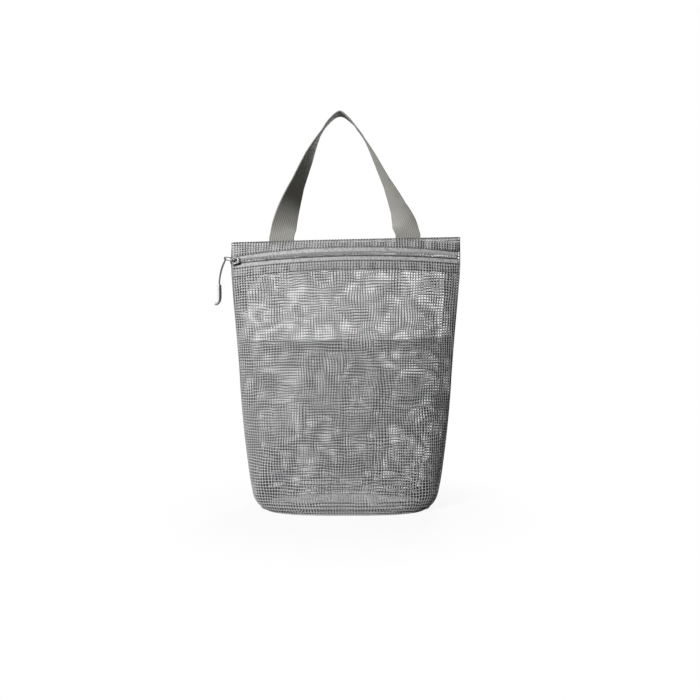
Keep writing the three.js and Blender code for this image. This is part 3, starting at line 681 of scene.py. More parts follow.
def yarn_edges(first, last):
    """Both edges of each yarn from first to last. The outer yarns lie just inside, and the pitch gives a
    little so that a whole number of holes fits."""
    half = yarn_width / 2
    holes = max(round((last - first - yarn_width) / net_pitch), 1)
    middles = np.linspace(first + half, last - half, holes + 1)
    return np.stack([middles - half, middles + half], 1).ravel()


def yarn_count(edges):
    """Texture places in which every yarn's middle is a whole number."""
    middles = (edges[::2] + edges[1::2]) / 2
    return (edges - middles[0]) / (middles[1] - middles[0])


def net_part(points, u, v, keep=True):
    """A net over a grid with a line along each edge of every yarn: only the cells between two yarns are
    open. keep can leave out more."""
    i, j = np.meshgrid(np.arange(len(v) - 1), np.arange(len(u) - 1), indexing="ij")
    return grid_part(points, yarn_count(u), yarn_count(v), keep=((i % 2 == 0) | (j % 2 == 0)) & keep)


def net_piece(name, part, finish, solid, thickness=yarn_thickness):
    """A net that rides on the bag and stands for one solid."""
    return make_piece(name, part, finish, "bag", [solid], thickness)


# Painted shade: the near-black grey of the net's inner face, for the shade inside the bag
painted_inner_shade = 0.03


def net_look(wire, dark, light, outside=0):
    """Coated yarn: each is a rounded strand, upright and level ones go over each other in turn, and the grey
    drifts a little from place to place. Each yarn's crown is painted lighter and its edges darker, as
    painted shade. outside is 1 or -1 where the cloth's outer face looks back or forward: its inner face is
    painted dark, as painted shade."""
    across, along = weave_places(wire)
    half = yarn_width / net_pitch / 2
    upright = (1 - across.from_centre() / half).clamped()
    level = (1 - along.from_centre() / half).clamped()
    swing = (across.math("ROUND", across) + along.math("ROUND", along)).wave(0.25)
    upright_on_top = swing * swing
    crown = upright.math("SQRT", upright) * (upright_on_top * 0.35 + 0.65)
    other = level.math("SQRT", level) * (1 - upright_on_top * 0.35)
    height = crown.math("MAXIMUM", crown, other)
    cloudy = grain(wire, 45)
    speckle = grain(wire, 1400)
    # height paints the crowns lighter and the yarn edges darker, as painted shade; cloudy and speckle are
    # the yarn's own tone
    colour = (height * 0.4 + cloudy * 0.4 + speckle * 0.3).clamped().colours(dark, light)
    if outside:
        normal = wire.node("ShaderNodeSeparateXYZ", values={0: wire.node("ShaderNodeTexCoord", output=1)})
        outer = (normal.beside(1) * (1.5 * outside) + 1).clamped()
        # painted shade: the inner face takes the near-black grey
        colour = outer.colours(painted_inner_shade, colour)
    return wire.principled({
        "Base Color": colour,
        "Roughness": speckle * 0.25 + 0.3,
        "Specular IOR Level": 0.1,
        "Normal": raised(wire, height, yarn_relief),
    })


# Both walls' nets have their inner face painted dark, as painted shade
front_grey = make_finish("front net", net_look, 0.2, 0.62, -1)
back_grey = make_finish("back net", net_look, 0.2, 0.62, 1)
# Painted shade: the same net painted near black, for layers that lie in the shade inside the bag
shaded_inner_grey = make_finish("inner net", net_look, 0.025, 0.1)

# %% [markdown]
# ## Front and back walls
# Both walls lie just outside the seams' surface. Empty cloth is never smooth: it is pulled from the base
# corners, sags between them and buckles a little under the stiff zip. Each such pull is a soft ridge along
# a line on the flat cloth, and a short table lists them, so they stay where they are on every run.

# %% Folds in the cloth
wall_middle = 1.3 * mm
band_middle = 2.1 * mm
seam_middle = 0.45 * mm

# Each pull: from x, height to x, height on the flat cloth, its half width and how far it stands out, in mm
front_pulls = np.array([
    [-92, 8, -52, 84, 9, 1.7],
    [-74, 12, -22, 60, 8, -1.3],
    [90, 8, 58, 78, 9, 1.6],
    [66, 14, 18, 70, 10, -1.4],
    [-30, 20, -38, 110, 12, 1.1],
    [24, 96, 34, 204, 10, 1.2],
    [-66, 120, -58, 212, 11, -1.2],
    [62, 120, 70, 214, 9, 1.4],
    [-12, 130, -20, 214, 9, -1.0],
    [96, 90, 92, 200, 8, -1.0],
    [-98, 70, -94, 190, 8, 1.0],
    [44, 190, 47, 214, 7, -1.2],
]) * mm
back_pulls = np.array([
    [-86, 10, -48, 100, 11, 1.6],
    [84, 10, 50, 90, 11, 1.6],
    [-20, 30, -26, 180, 14, -1.4],
    [30, 60, 38, 230, 13, 1.2],
    [-70, 120, -60, 250, 12, 1.0],
    [78, 130, 70, 250, 12, -1.2],
]) * mm


def folded(pulls, s, height):
    """How far the pulls move the cloth out: for each, its height times exp(-(distance to its line /
    width)^2)."""
    places = np.stack(np.broadcast_arrays(s * cloth_half, height[:, None]), -1)[..., None, :]
    start, stop, width, rise = pulls[:, :2], pulls[:, 2:4], pulls[:, 4], pulls[:, 5]
    line = stop - start
    share = np.clip(((places - start) * line).sum(-1) / (line * line).sum(-1), 0, 1)
    distance = np.linalg.norm(places - start - line * share[..., None], axis=-1)
    return (rise * np.exp(-((distance / width) ** 2))).sum(-1)


buckle_waves = 5


def buckles(s, seed, wavelength):
    """Small uneven waves along a seam, between 0 and 1: a few sines of nearly the same length, with seeded
    phases."""
    chance = np.random.default_rng(seed)
    lengths = wavelength * chance.uniform(0.7, 1.5, buckle_waves)
    phases = chance.uniform(0, 2 * np.pi, buckle_waves)
    waves = np.sin(s[:, None] * cloth_half * 2 * np.pi / lengths + phases)
    return 0.5 + 0.5 * waves.mean(1) * np.sqrt(buckle_waves)


drift_reach = 0.75 * mm
drift_edge = 12 * mm
drift_waves = 10
drift_lengths = (9, 48)  # mm, the shortest and the longest wave


def drifted(points, seed):
    """A net's points slid within its own surface, as loose yarns wander: along and up it by sums of
    slanting sines with seeded directions, lengths and phases. The slide dies out at the seams."""
    chance = np.random.default_rng(seed)
    across = lengths_along(points[len(points) // 2])
    rise = lengths_along(points[:, points.shape[1] // 2])
    x, z = np.meshgrid(across, rise)
    margins = (x, across[-1] - x, z, rise[-1] - z)
    held = np.prod([smooth(margin / drift_edge) for margin in margins], axis=0)
    slides = []
    for _ in range(2):
        heading = chance.uniform(0, np.pi, (drift_waves, 1, 1))
        wavelength = chance.uniform(*drift_lengths, (drift_waves, 1, 1)) * mm
        phase = chance.uniform(0, 2 * np.pi, (drift_waves, 1, 1))
        waves = np.sin((x * np.cos(heading) + z * np.sin(heading)) * 2 * np.pi / wavelength + phase)
        slide = (waves * wavelength / wavelength.mean()).mean(0) * np.sqrt(drift_waves)
        slides.append(slide * drift_reach * held)
    along, upward = (unit(np.gradient(points, axis=axis)) for axis in (1, 0))
    return points + along * slides[0][..., None] + upward * slides[1][..., None]


# %% Front and back nets
tape_start = panel_top + bare_tape - tape_width
step_start = tape_start - tape_width
foot_quiet = 20 * mm  # the foot is kept flat by the base seam
top_quiet = 25 * mm
side_quiet = 8 * mm
zip_quiet = 5 * mm  # the zip's seam keeps this last stretch flat
buckle_reach = 30 * mm  # below the zip's seam
buckle_length = 15 * mm
buckle_height = 0.8 * mm
buckle_seed = 3
drift_seed = 20


def from_sides(s, reach):
    """0 at the side seams and 1 from this far in."""
    return smooth((1 - np.abs(s)) * cloth_half / reach)


def at_seams(s, middle):
    """The distance of a wall from the seams' surface: it closes to the seam at both sides."""
    return mixed(seam_middle, middle, from_sides(s, 3 * wall_middle))


def front_surface(s, height):
    """The front net's middle surface: wall, pulls, the step over the tape, and buckles below the zip's
    seam."""
    base = front_wall(s, height)
    stepped = smooth((height - step_start) / tape_width)[:, None]
    quiet = smooth(height / foot_quiet)[:, None] * (1 - stepped)
    under_zip = smooth((height - tape_start) / buckle_reach + 1) * smooth((panel_top - height) / zip_quiet)
    waves = buckles(s, buckle_seed, buckle_length) * buckle_height
    moved = folded(front_pulls, s, height) * quiet + waves * under_zip[:, None]
    out = at_seams(s, wall_middle) + (band_middle - wall_middle) * stepped
    out = out + from_sides(s, side_quiet) * moved
    return base + facing(base) * out[..., None]


def back_surface(s, height):
    """The back net's middle surface, seen from behind: wall and pulls."""
    base = back_wall(s, height)
    quiet = smooth(height / foot_quiet) * smooth((bag_height - height) / top_quiet)
    moved = folded(back_pulls, s, height) * quiet[:, None]
    out = at_seams(s, wall_middle) + from_sides(s, side_quiet) * moved
    return base + facing(base) * out[..., None]


lowest_yarn = 0.3 * mm
cloth_yarns = yarn_edges(-cloth_half, cloth_half)


def wall_net(name, surface, top, side, finish, solid):
    """A net over one whole wall, with yarns along its edges. The back one runs the other way, to face
    outward."""
    height = yarn_edges(0, top)
    points = drifted(surface(side * cloth_yarns / cloth_half, height), drift_seed + side)
    points[..., 2] = np.maximum(points[..., 2], lowest_yarn)
    return net_piece(name, net_part(points, cloth_yarns, height), finish, solid)


front_net = wall_net("front_net", front_surface, panel_top, 1, front_grey, "front_panel")
back_net = wall_net("back_net", back_surface, bag_height, -1, back_grey, "back_panel")

# %% [markdown]
# ## Base
# The base is a flat oblong of the same net. Its edge follows the walls' lowest section. Every level yarn is
# cut off where it meets that outline: the grid's points past the outline slide back onto it, and cells that
# end up empty are dropped. Round it, inside, the seam allowance stands up as a doubled strip.

# %% Base net
base_foot = 0.4 * mm
base_thickness = 0.2 * mm
allowance_foot = 1.1 * mm
allowance_height = 10 * mm
allowance_insets = (-0.2 * mm, 0.5 * mm)
narrowest_cell = 0.02 * mm
# Painted light: the base is the same net, painted lighter for the light that falls on it from above
lit_base_grey = make_finish("base net", net_look, 0.5, 0.8)
# Painted shade: the same net painted nearly black, for the seam strip in the shade at the bag's foot
shaded_seam_grey = make_finish("seam net", net_look, 0.012, 0.05)


def base_net():
    """A level net cut to the outline |x/width|^squareness + |y/depth|^fullness = 1, deeper in front."""
    width, front, back, squareness, fullness = body_shares[0, 1:]
    half_width = top_half_width * width + wall_middle
    front_depth, back_depth = (base_half_depth * depth + wall_middle for depth in (front, back))
    x = yarn_edges(-half_width, half_width)
    y = yarn_edges(-front_depth, back_depth)
    depth = np.where(y < 0, front_depth, back_depth)
    reach = half_width * (1 - (np.abs(y) / depth) ** fullness).clip(0) ** (1 / squareness)
    inside = np.clip(x, -reach[:, None], reach[:, None])
    points = np.stack(np.broadcast_arrays(inside, y[:, None], base_foot), -1)
    wide = np.minimum(np.diff(inside)[:-1], np.diff(inside)[1:]) > narrowest_cell
    # the base's lighter grey is painted light
    net_piece("base_net", net_part(points, x, y, wide), lit_base_grey, "base_panel", base_thickness)


base_net()


# %% Base seam allowance
def base_strip(wall, side, inset):
    """One half of the strip, a net that follows the wall's lowest part, this far inside it."""
    height = yarn_edges(allowance_foot, allowance_foot + allowance_height)
    base = wall(side * cloth_yarns / cloth_half, height)
    return net_part(base - facing(base) * inset, cloth_yarns, height)


allowance_layers = [
    base_strip(wall, side, inset)
    for wall, side in ((front_wall, 1), (back_wall, -1))
    for inset in allowance_insets
]
# The strip's near-black net is painted shade
net_piece("base_seam_net", joined(allowance_layers), shaded_seam_grey, "base_seam_allowance")

# %% [markdown]
# ## Side seam allowances
# At both sides the front and back are sewn together inside out, and the turned seam leaves a doubled strip
# about 13 mm wide standing inward. Seen from the front it is the darker, denser band along each side.

# %% Side seam allowances
side_allowance_width = 13 * mm
side_layers = (-0.4 * mm, 0.4 * mm)
above_base_strip = 0.3 * mm
below_slider = 4.9 * mm  # the strips stop this far under the zip's end, so that the slider passes over them
sway_reach = 0.5 * mm
sway_length = 37 * mm
edge_foot = 0.5 * mm
edge_rows = 180
edge_columns = 3
just_inside = 0.98  # a second column next to the seam, which gives the wall's slope there


def seam_edge(side):
    """The sewn edge itself: at each height a straight line from the front wall's edge to the back
    wall's."""
    height = np.linspace(edge_foot, panel_top, edge_rows)
    share = np.linspace(0, 1, edge_columns)
    near = np.sort(side * np.array([just_inside, 1]))
    edge = (side + 1) // 2
    front = front_surface(near, height)[:, [edge]]
    back = back_surface(near[::-1], height)[:, [1 - edge]]
    return grid_part(mixed(front, back, share[:, None])[:, ::side], share, height / net_pitch)


def side_strip(side):
    """Two nets just in front of and behind the plane of the side seam, from the seam inward, and their sewn
    edge."""
    foot = allowance_foot + allowance_height + above_base_strip
    height = yarn_edges(foot, zip_end_height - below_slider)
    inward = yarn_edges(0, side_allowance_width)
    x = side * (top_half_width * body_column(1, height)[:, None] - inward)
    z = height[:, None] + lift(x, height[:, None])
    sway = sway_reach * np.sin(height / sway_length)[:, None] * (inward / side_allowance_width)
    layers = [np.stack([x, y + sway, z], -1)[:, ::-side] for y in side_layers]
    return joined([seam_edge(side), *(net_part(layer, inward, height) for layer in layers)])


# The strips' net is painted near black as painted shade, beside the real density of their doubled layers
for side, place in ((-1, "left"), (1, "right")):
    net_piece(f"{place}_seam_net", side_strip(side), shaded_inner_grey, f"{place}_seam_allowance")

# %% [markdown]
# ## Pocket
# A pocket of the same net is sewn to the back wall, with a stitched divider that makes a wide and a narrow
# compartment. Each compartment is cut fuller than the wall, so it stands off it. Its top edge is folded
# down inside and sewn, which doubles the net into a darker band. The sheet therefore runs up, over the fold
# and down again.

# %% Pocket net
pocket_foot = 11.4 * mm
pocket_top = 167 * mm
pocket_hem = 12 * mm
pocket_fullness = 11 * mm
pocket_inset = 4 * mm
pocket_out = 0.2 * mm
pocket_ripple = 0.6 * mm
ripple_length = 13 * mm
fold_gap = 0.9 * mm
fold_turn = 1 * mm
divider_place = 28.5 * mm
pocket_seed = 5
pocket_edge = 1 - pocket_inset / top_half_width
divider = divider_place / top_half_width


def compartment(s):
    """How full the pocket is: a parabola in each compartment, 0 at its seams and 1 in its middle."""
    start = np.where(s < divider, -pocket_edge, divider)
    stop = np.where(s < divider, divider, pocket_edge)
    t = (s - start) / (stop - start)
    return np.clip(4 * t * (1 - t), 0, 1)


def pocket_surface(s, height, inward):
    """The pocket's surface, inward of the back wall by its fullness, and more for the folded layer. The way
    out is taken from the wall just above and below each height, so it stays the same where the cloth runs
    back down."""
    base = back_wall(s, height)
    upward = back_wall(s, height + mm) - back_wall(s, height - mm)
    out = unit(np.cross(np.gradient(base, axis=1), upward))
    rise = smooth((height - pocket_foot) / (3 * allowance_height))
    full = pocket_fullness * compartment(s) * rise[:, None]
    soft = pocket_ripple * np.sin(s * cloth_half / ripple_length) * compartment(s) * rise[:, None]
    return base + out * (pocket_out - full + soft - inward[:, None])[..., None]


def pocket_net():
    """The pocket's net by the distance up the cloth: past the fold the height runs back down, one yarn
    inside."""
    fold_at = pocket_top - pocket_foot
    across = yarn_edges(-pocket_edge * cloth_half, pocket_edge * cloth_half)
    cloth = yarn_edges(0, fold_at + pocket_hem)
    height = pocket_foot + fold_at - np.abs(cloth - fold_at)
    inward = fold_gap * smooth((cloth - fold_at + fold_turn) / (2 * fold_turn))
    points = drifted(pocket_surface(-across / cloth_half, height, inward), pocket_seed)
    # The pocket's net is painted near black, as painted shade
    return net_piece("pocket_net", net_part(points, across, cloth), shaded_inner_grey, "pocket_panel")


pocket = pocket_net()
print("pocket's divider at", round(divider * cloth_half / mm, 1), "mm")

# %% [markdown]
# ## Band above the zip
# Between the zip and the top edge runs a narrow band of net. It lies over the upper tape, so it looks
# almost closed, and it puckers between its stitches, most at the right corner.

# %% Top band
band_foot_quiet = 4 * mm
band_top_quiet = 3 * mm
pucker_length = 13 * mm
pucker_heights = (0.4 * mm, 1.1 * mm)  # over the left part of the band, and at its right corner
pucker_start = -0.2  # where along s they begin to grow
pucker_seed = 8


def band_surface(s, across, middle):
    """The surface this far out of the zip's zone, turning to face the front at the top edge."""
    base = zip_zone(s, across)
    share = smooth((across - tape_width) / (band_run + bare_tape - tape_width))[:, None, None]
    return base + unit(mixed(facing(base), forward, share)) * middle[..., None]


def top_band():
    """The band's net, with puckers that grow toward the right corner."""
    s = cloth_yarns / cloth_half
    rows = yarn_edges(bare_tape, bare_tape + band_run)
    loose = smooth((rows - bare_tape) / band_foot_quiet)
    loose = loose * smooth((bare_tape + band_run - rows) / band_top_quiet)
    grown = mixed(*pucker_heights, smooth((s - pucker_start) / (1 - pucker_start)))
    puckers = buckles(s, pucker_seed, pucker_length) * grown
    middle = at_seams(s, band_middle) + puckers * loose[:, None]
    part = net_part(band_surface(s, rows, middle), cloth_yarns, rows)
    return net_piece("band_net", part, front_grey, "top_band")


band = top_band()

# %% [markdown]
# ## Zip tapes
# Two strips of light grey woven tape carry the coil. They are sewn between the layers, and only their inner
# 6 mm shows bare. They are plain strips on the zip's surface. The weave is too fine to model, so it is a
# bump and a tint on the tape's own millimetres.

# %% Tapes
tape_edge = 1.15 * mm
tape_middle = 1.5 * mm
tape_thickness = 0.6 * mm
tape_inset = 1.6 * mm
tape_rib = 0.8  # mm
tape_pick = 0.5  # mm
tape_relief = 0.12 * mm
tape_lines = 12  # across the tape
tape_columns = 230


def tape_look(wire):
    """Plain-woven tape: fine ribs across, finer slanting picks along, and a slightly uneven dye. The weave's
    crowns are painted lighter, as painted light.
    """
    along, across = weave_places(wire)
    ribs = along.wave(1 / tape_rib) * 0.5 + 0.5
    picks = (across / tape_pick + along / tape_rib).wave(1) * 0.5 + 0.5
    height = ribs * picks
    mottle = (grain(wire, 380, 3.0) - 0.5) * 1.6
    # height paints the weave's crowns lighter, as painted light; mottle is the uneven dye
    shade = (height * 0.4 + mottle + 0.35).clamped()
    return wire.principled({
        "Base Color": shade.colours(0.26, 0.62),
        "Roughness": 0.8,
        "Normal": raised(wire, height, tape_relief),
    })


def make_tape(place, rows):
    """A tape between two distances across the zip, on the middle of its layer."""
    along = np.linspace(tape_inset, 2 * cloth_half - tape_inset, tape_columns)
    base = zip_zone(along / cloth_half - 1, rows)
    part = grid_part(base + facing(base) * tape_middle, along / mm, rows / mm)
    make_piece(f"{place}_tape", part, tape_grey, "bag", [f"zipper_tape_{place}"], tape_thickness)


tape_grey = make_finish("zip tape", tape_look)
tape_rows = np.linspace(tape_edge, tape_width, tape_lines)
make_tape("upper", tape_rows)
make_tape("lower", -tape_rows[::-1])

# %% [markdown]
# ## Coil
# Each half of the chain is one stiff plastic thread wound into flat loops and sewn to its tape. The loops
# of one half reach over the middle line into the gaps of the other. A flattened helix does it in one
# formula: along the zip at a steady rate, and round a squarish oval across it.

# %% Coil halves
tooth_pitch = 1.4 * mm
coil_reach = (-0.42 * mm, 1.98 * mm)
coil_faces = (2.42 * mm, 3.68 * mm)
coil_thread = 0.31 * mm
coil_begins = 3.9 * mm
coil_end_inset = 4.5 * mm
loop_steps = 10
loop_roundness = 0.7  # the power of the oval's sines: below 1 the loops are squarish
thread_sides = 5


def coil_look(wire):
    """Satin nylon, painted darker where the loops reach down to the tape, as painted shade."""
    across = weave_places(wire)[1]
    cloudy = grain(wire, 300)
    # painted shade: darker toward the loops' ends at the tape
    shade = (1 - across * 0.8 + cloudy * 0.2).clamped()
    return wire.principled({"Base Color": shade.colours(0.12, 0.5), "Roughness": cloudy * 0.15 + 0.3})


def make_coil(place, side):
    """A thread on the path: along = start + pitch t, across and out round an oval of blunt sines of 2 pi
    t."""
    loops = int((zip_length - coil_end_inset - coil_begins) / tooth_pitch)
    t = np.linspace(0, loops, loops * loop_steps + 1) + (0 if side > 0 else 0.5)
    t = t[coil_begins + tooth_pitch * t < zip_length - coil_end_inset]
    along = coil_begins + tooth_pitch * t
    across, out = (
        (low + high) / 2 + (high - low) / 2 * blunt(swing, loop_roundness)
        for (low, high), swing in ((coil_reach, np.cos(2 * np.pi * t)), (coil_faces, np.sin(2 * np.pi * t)))
    )
    path = zip_point(along, side * across, out)
    ahead = unit(np.gradient(path, axis=0))
    first = unit(np.cross(ahead, unit(np.cross(zip_up, zip_out(along)))))
    around = turns(thread_sides)
    profile = np.stack([np.cos(around), np.sin(around)], -1) * coil_thread
    rings = rings_along(path, first, np.cross(ahead, first), profile)
    part = tube_part(rings, np.clip(across / coil_reach[1], 0, 1) ** 3)
    make_piece(f"{place}_coil", part, coil_grey, "bag", [f"zipper_coil_{place}"])


coil_grey = make_finish("coil nylon", coil_look)
make_coil("upper", 1)
make_coil("lower", -1)

# %% [markdown]
# ## Slider
# The slider and its bail are small zinc castings with bright plating. Their solids are already right, so
# they only get a finish: a mirror-like metal with the faint unevenness of tumbled and plated castings in its
# roughness and pits. In this white room it would mirror nothing but white, so the plating's colour carries
# painted reflections: the cloudy dark greys that a real room draws on it.

# %% Slider metal
pit_depth = 0.02 * mm


def metal_look(wire):
    """Bright plating with slightly cloudy, softly pitted faces. Its dark, cloudy colour is a painted
    reflection of a real room.
    """
    cloudy = grain(wire, 500)
    pits = grain(wire, 2500)
    return wire.principled({
        # painted reflection: dark cloudy greys where a real room would be mirrored
        "Base Color": cloudy.colours((0.02, 0.02, 0.021), (0.22, 0.22, 0.225)),
        "Metallic": 1.0,
        "Roughness": cloudy * 0.18 + 0.12,
        "Normal": raised(wire, pits, pit_depth),
    })


plating = make_finish("bright plating", metal_look)
for node in ("slider_body", "slider_bail"):
    casting = frame["nodes"][node]
    casting.data.materials.clear()
    casting.data.materials.append(plating)

# %% [markdown]
# ## Strap
# The handle is one length of ribbed webbing, 25 mm wide. Its ends are sewn in behind the band, and over the
# top it turns on edge. The webbing is a ribbed section carried along its route, and it turns with it.

# %% Strap
strap_width = 25 * mm
strap_thickness = 1.5 * mm
strap_middle = -0.15 * mm
strap_stub = 4 * mm
sewn_length = 16 * mm
handle_rise = 123 * mm
leg_places = (64.5 * mm, 62.5 * mm)
rib_pitch = 1.9 * mm
rib_relief = 0.2 * mm
rib_roundness = 0.7
groove_share = 0.8  # of the thickness, left in the grooves between the ribs
edge_share = 0.06  # of the half width, over which each edge thins out
thinnest_share = 0.35
chevron_pitch = 1.1  # mm
strap_rings = 200
sewn_rings = 16
sewn_gap = 0.5 * mm  # from the last sewn ring up to the loop's first
strap_columns = 79
fold_height = bag_height + strap_stub
fold_line = unit(np.array([1, 0, corner_lift / top_half_width]))

# x as a share of the nearer leg's place, and height as a share of the rise
handle_shares = np.array([
    [-1, 0],
    [-0.89, 0.222],
    [-0.685, 0.508],
    [-0.437, 0.795],
    [-0.268, 0.935],
    [-0.09, 1],
    [0.07, 0.945],
    [0.288, 0.795],
    [0.578, 0.508],
    [0.838, 0.222],
    [1, 0],
])
# How far the strap's front has turned toward the inside of the loop, as a share of a quarter turn
turn_shares = np.array([0.05, 0.42, 0.73, 0.87, 1.12, 1.13, 1.17, 1.02, 0.9, 0.63, 0.05])
settle_share = 0.06


def webbing_look(wire):
    """Ribbed webbing: warm grey, each lengthwise rib a row of small chevrons. The ribs' crowns are painted
    lighter and the grooves between them darker, as painted shade."""
    across, along = weave_places(wire)
    rib = (across / (rib_pitch / mm)).from_centre() * 2
    chevron = ((along - rib * 0.6) / chevron_pitch).wave(1) * 0.5 + 0.5
    height = (1 - rib * rib) * 0.6 + chevron * 0.4
    cloudy = grain(wire, 40)
    # height paints the crowns lighter and the grooves darker, as painted shade; cloudy is the webbing's own
    # tone
    shade = (height * 0.75 + cloudy * 0.35 - 0.1).clamped()
    return wire.principled({
        "Base Color": shade.colours((0.14, 0.137, 0.122), (0.4, 0.392, 0.362)),
        "Roughness": 0.82,
        "Sheen Weight": 0.15,
        "Normal": raised(wire, height, rib_relief),
    })


def strap_route():
    """The strap's middle line with its directions across and out of its face, from one sewn end to the
    other."""
    legs = np.where(handle_shares[:, 0] < 0, leg_places[0], leg_places[1])
    x = handle_shares[:, 0] * legs
    z = fold_height + corner_lift * x / top_half_width + handle_shares[:, 1] * handle_rise
    loop = smooth_path(np.stack([x, np.full(len(x), strap_middle), z], -1), strap_rings)
    share = np.linspace(0, 1, strap_rings)
    known = np.linspace(0, 1, len(turn_shares))
    turn = (np.interp(share, known, turn_shares) * np.pi / 2)[:, None]
    ahead = unit(np.gradient(loop, axis=0))
    inward = unit(np.cross(-forward, ahead))
    face = forward * np.cos(turn) + inward * np.sin(turn)
    across = unit(np.cross(face, ahead))
    settled = smooth(np.minimum(share, 1 - share) / settle_share)[:, None]
    across = unit(mixed(fold_line * np.sign(across[:, :1]), across, settled))
    face = unit(mixed(forward, face, settled))
    added = ((sewn_rings, sewn_rings), (0, 0))
    path, across, face = (np.pad(rows, added, "edge") for rows in (loop, across, face))
    drop = up * np.linspace(sewn_length + strap_stub, sewn_gap, sewn_rings)[:, None]
    path[:sewn_rings] -= drop
    path[-sewn_rings:] -= drop[::-1]
    return path, across, face


def make_strap(path, across, face):
    """A ribbed oblong section carried along the strap's route, thickest on the ribs' crowns and thin at the
    edges."""
    w = np.linspace(-1, 1, strap_columns)
    crown = np.abs(np.cos(np.pi * w * strap_width / 2 / rib_pitch)) ** rib_roundness
    edge = np.sqrt(1 - np.clip((np.abs(w) - 1 + edge_share) / edge_share, 0, 1) ** 2)
    half = strap_thickness / 2 * mixed(groove_share, 1, crown) * mixed(thinnest_share, 1, edge)
    wide = w * strap_width / 2
    ring = np.concatenate([np.stack([wide, -half], -1), np.stack([wide, half], -1)[::-1]])
    u = np.concatenate([wide, wide[::-1], wide[:1]]) / mm
    part = tube_part(rings_along(path, across, face, ring), lengths_along(path) / mm, u)
    return make_piece("handle_strap", part, make_finish("webbing", webbing_look))


route = strap_route()
strap = make_strap(*route)
strap_nodes = ("handle_loop", "handle_end_left", "handle_end_right")
fold_normal = np.array([-fold_line[2], 0, fold_line[0]])
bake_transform(strap)
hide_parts(*strap_nodes)
print("strap", round(lengths_along(route[0])[-1] / mm), "mm long")

# %% [markdown]
# ## Thread
# Every seam shows as a row of short dark stitches that dip into the cloth at their ends. One small lozenge
# with seventeen faces is placed at even steps along each seam's line.

# %% Stitches
stitch_pitch = 2.9 * mm
stitch_length = 1.8 * mm
thread_radius = 0.5 * mm
lying_share = 0.3  # of its radius, how far a stitch's middle lies above the net
row_steps = np.array([-1, 0, 1]) * mm  # a row and its neighbours, which give the surface's slope
row_inset = 1 * mm
path_steps = 300
# Each ring of a stitch: place as a share of its length, radius and depth as shares of the thread's own
stitch_shares = np.array([
    [-0.5, 0.5, -1.0],
    [-0.3, 1, 0.2],
    [0.3, 1, 0.2],
    [0.5, 0.5, -1.0],
])


def thread_look(wire):
    """Dark grey thread with a fine twist along each stitch."""
    around, along = weave_places(wire)
    twist = (around + along * 4).wave(1) * 0.5 + 0.5
    return wire.principled({
        "Base Color": twist.colours((0.015, 0.015, 0.016), (0.06, 0.06, 0.062)),
        "Roughness": 0.6,
    })


def stitch_row(path, out, pitch=stitch_pitch, length=stitch_length, radius=thread_radius):
    """Stitches at even steps along a path: rings of five points whose place, radius and depth follow the
    shares."""
    total = lengths_along(path)[-1]
    count = max(int(total / pitch), 1)
    middles = np.linspace(pitch / 2, total - pitch / 2, count)
    facing_out = unit(at_lengths(path, middles, out))
    ahead = unit(at_lengths(path, middles + pitch / 9) - at_lengths(path, middles - pitch / 9))
    turn = turns(thread_sides)
    along, size, sunk = (stitch_shares[:, axis, None] for axis in range(3))
    moves = (
        (ahead, along * length + 0 * turn),
        (unit(np.cross(facing_out, ahead)), size * radius * np.cos(turn)),
        (facing_out, size * radius * np.sin(turn) + sunk * radius),
    )
    points = at_lengths(path, middles)[:, None, None] + sum(
        direction[:, None, None] * distance[..., None] for direction, distance in moves
    )
    one = tube_part(points[0], np.linspace(0, 1, len(stitch_shares)))
    offsets = (np.arange(count) * points[0].size // 3)[:, None, None]
    faces = [(group[None] + offsets).reshape(-1, group.shape[1]) for group in one[1]]
    places = [np.tile(group, (count, 1, 1)) for group in one[2]]
    return points.reshape(-1, 3), faces, places


def on_surface(points):
    """A row of a surface's grid as a path, with the outward direction along it: the middle of three
    rows."""
    return points[1], facing(points)[1]


seam_share = 0.985
seam_steps = np.linspace(-seam_share, seam_share, path_steps)
thread_grey = make_finish("thread", thread_look)


def raised_row(points, out):
    """A path moved out by half the yarn, so that its stitches lie on the net."""
    return points + out * (yarn_thickness / 2 + thread_radius * lying_share), out


def zip_seam(across):
    """A stitch row along the zip, at this distance across it, on the outer layer."""
    middle = np.broadcast_to(band_middle, (len(row_steps), len(seam_steps)))
    return stitch_row(*raised_row(*on_surface(band_surface(seam_steps, across + row_steps, middle))))


coil_seam = 2.4 * mm
tape_seam = 0.9 * mm  # from the bare tape to the row that holds it
binding_radius = 0.3 * mm
binding_share = 1.1  # a binding stitch's length as a share of its pitch


def coil_row(across):
    """The close row of thread that binds a coil to its tape, at this distance across the zip."""
    along = np.linspace(coil_begins, zip_length - coil_end_inset, path_steps)
    path = zip_point(along, across, tape_middle + tape_thickness / 2 + 0 * along)
    return stitch_row(path, zip_out(along), tooth_pitch, tooth_pitch * binding_share, binding_radius)


tape_row = bare_tape + tape_seam
zip_rows = (tape_row, -tape_row, row_inset - tape_width, bare_tape + band_run - row_inset)
zip_threads = [zip_seam(across) for across in zip_rows]
zip_threads += [coil_row(coil_seam), coil_row(-coil_seam)]
make_piece("zip_stitches", joined(zip_threads), thread_grey, "bag")


# %% Pocket, base and side stitches
divider_radius = 0.9 * mm
base_row_height = 3 * mm
hem_steps = 240
side_steps = 160
side_row_share = 0.02
slope_shares = np.array([0.01, 0, -0.01])


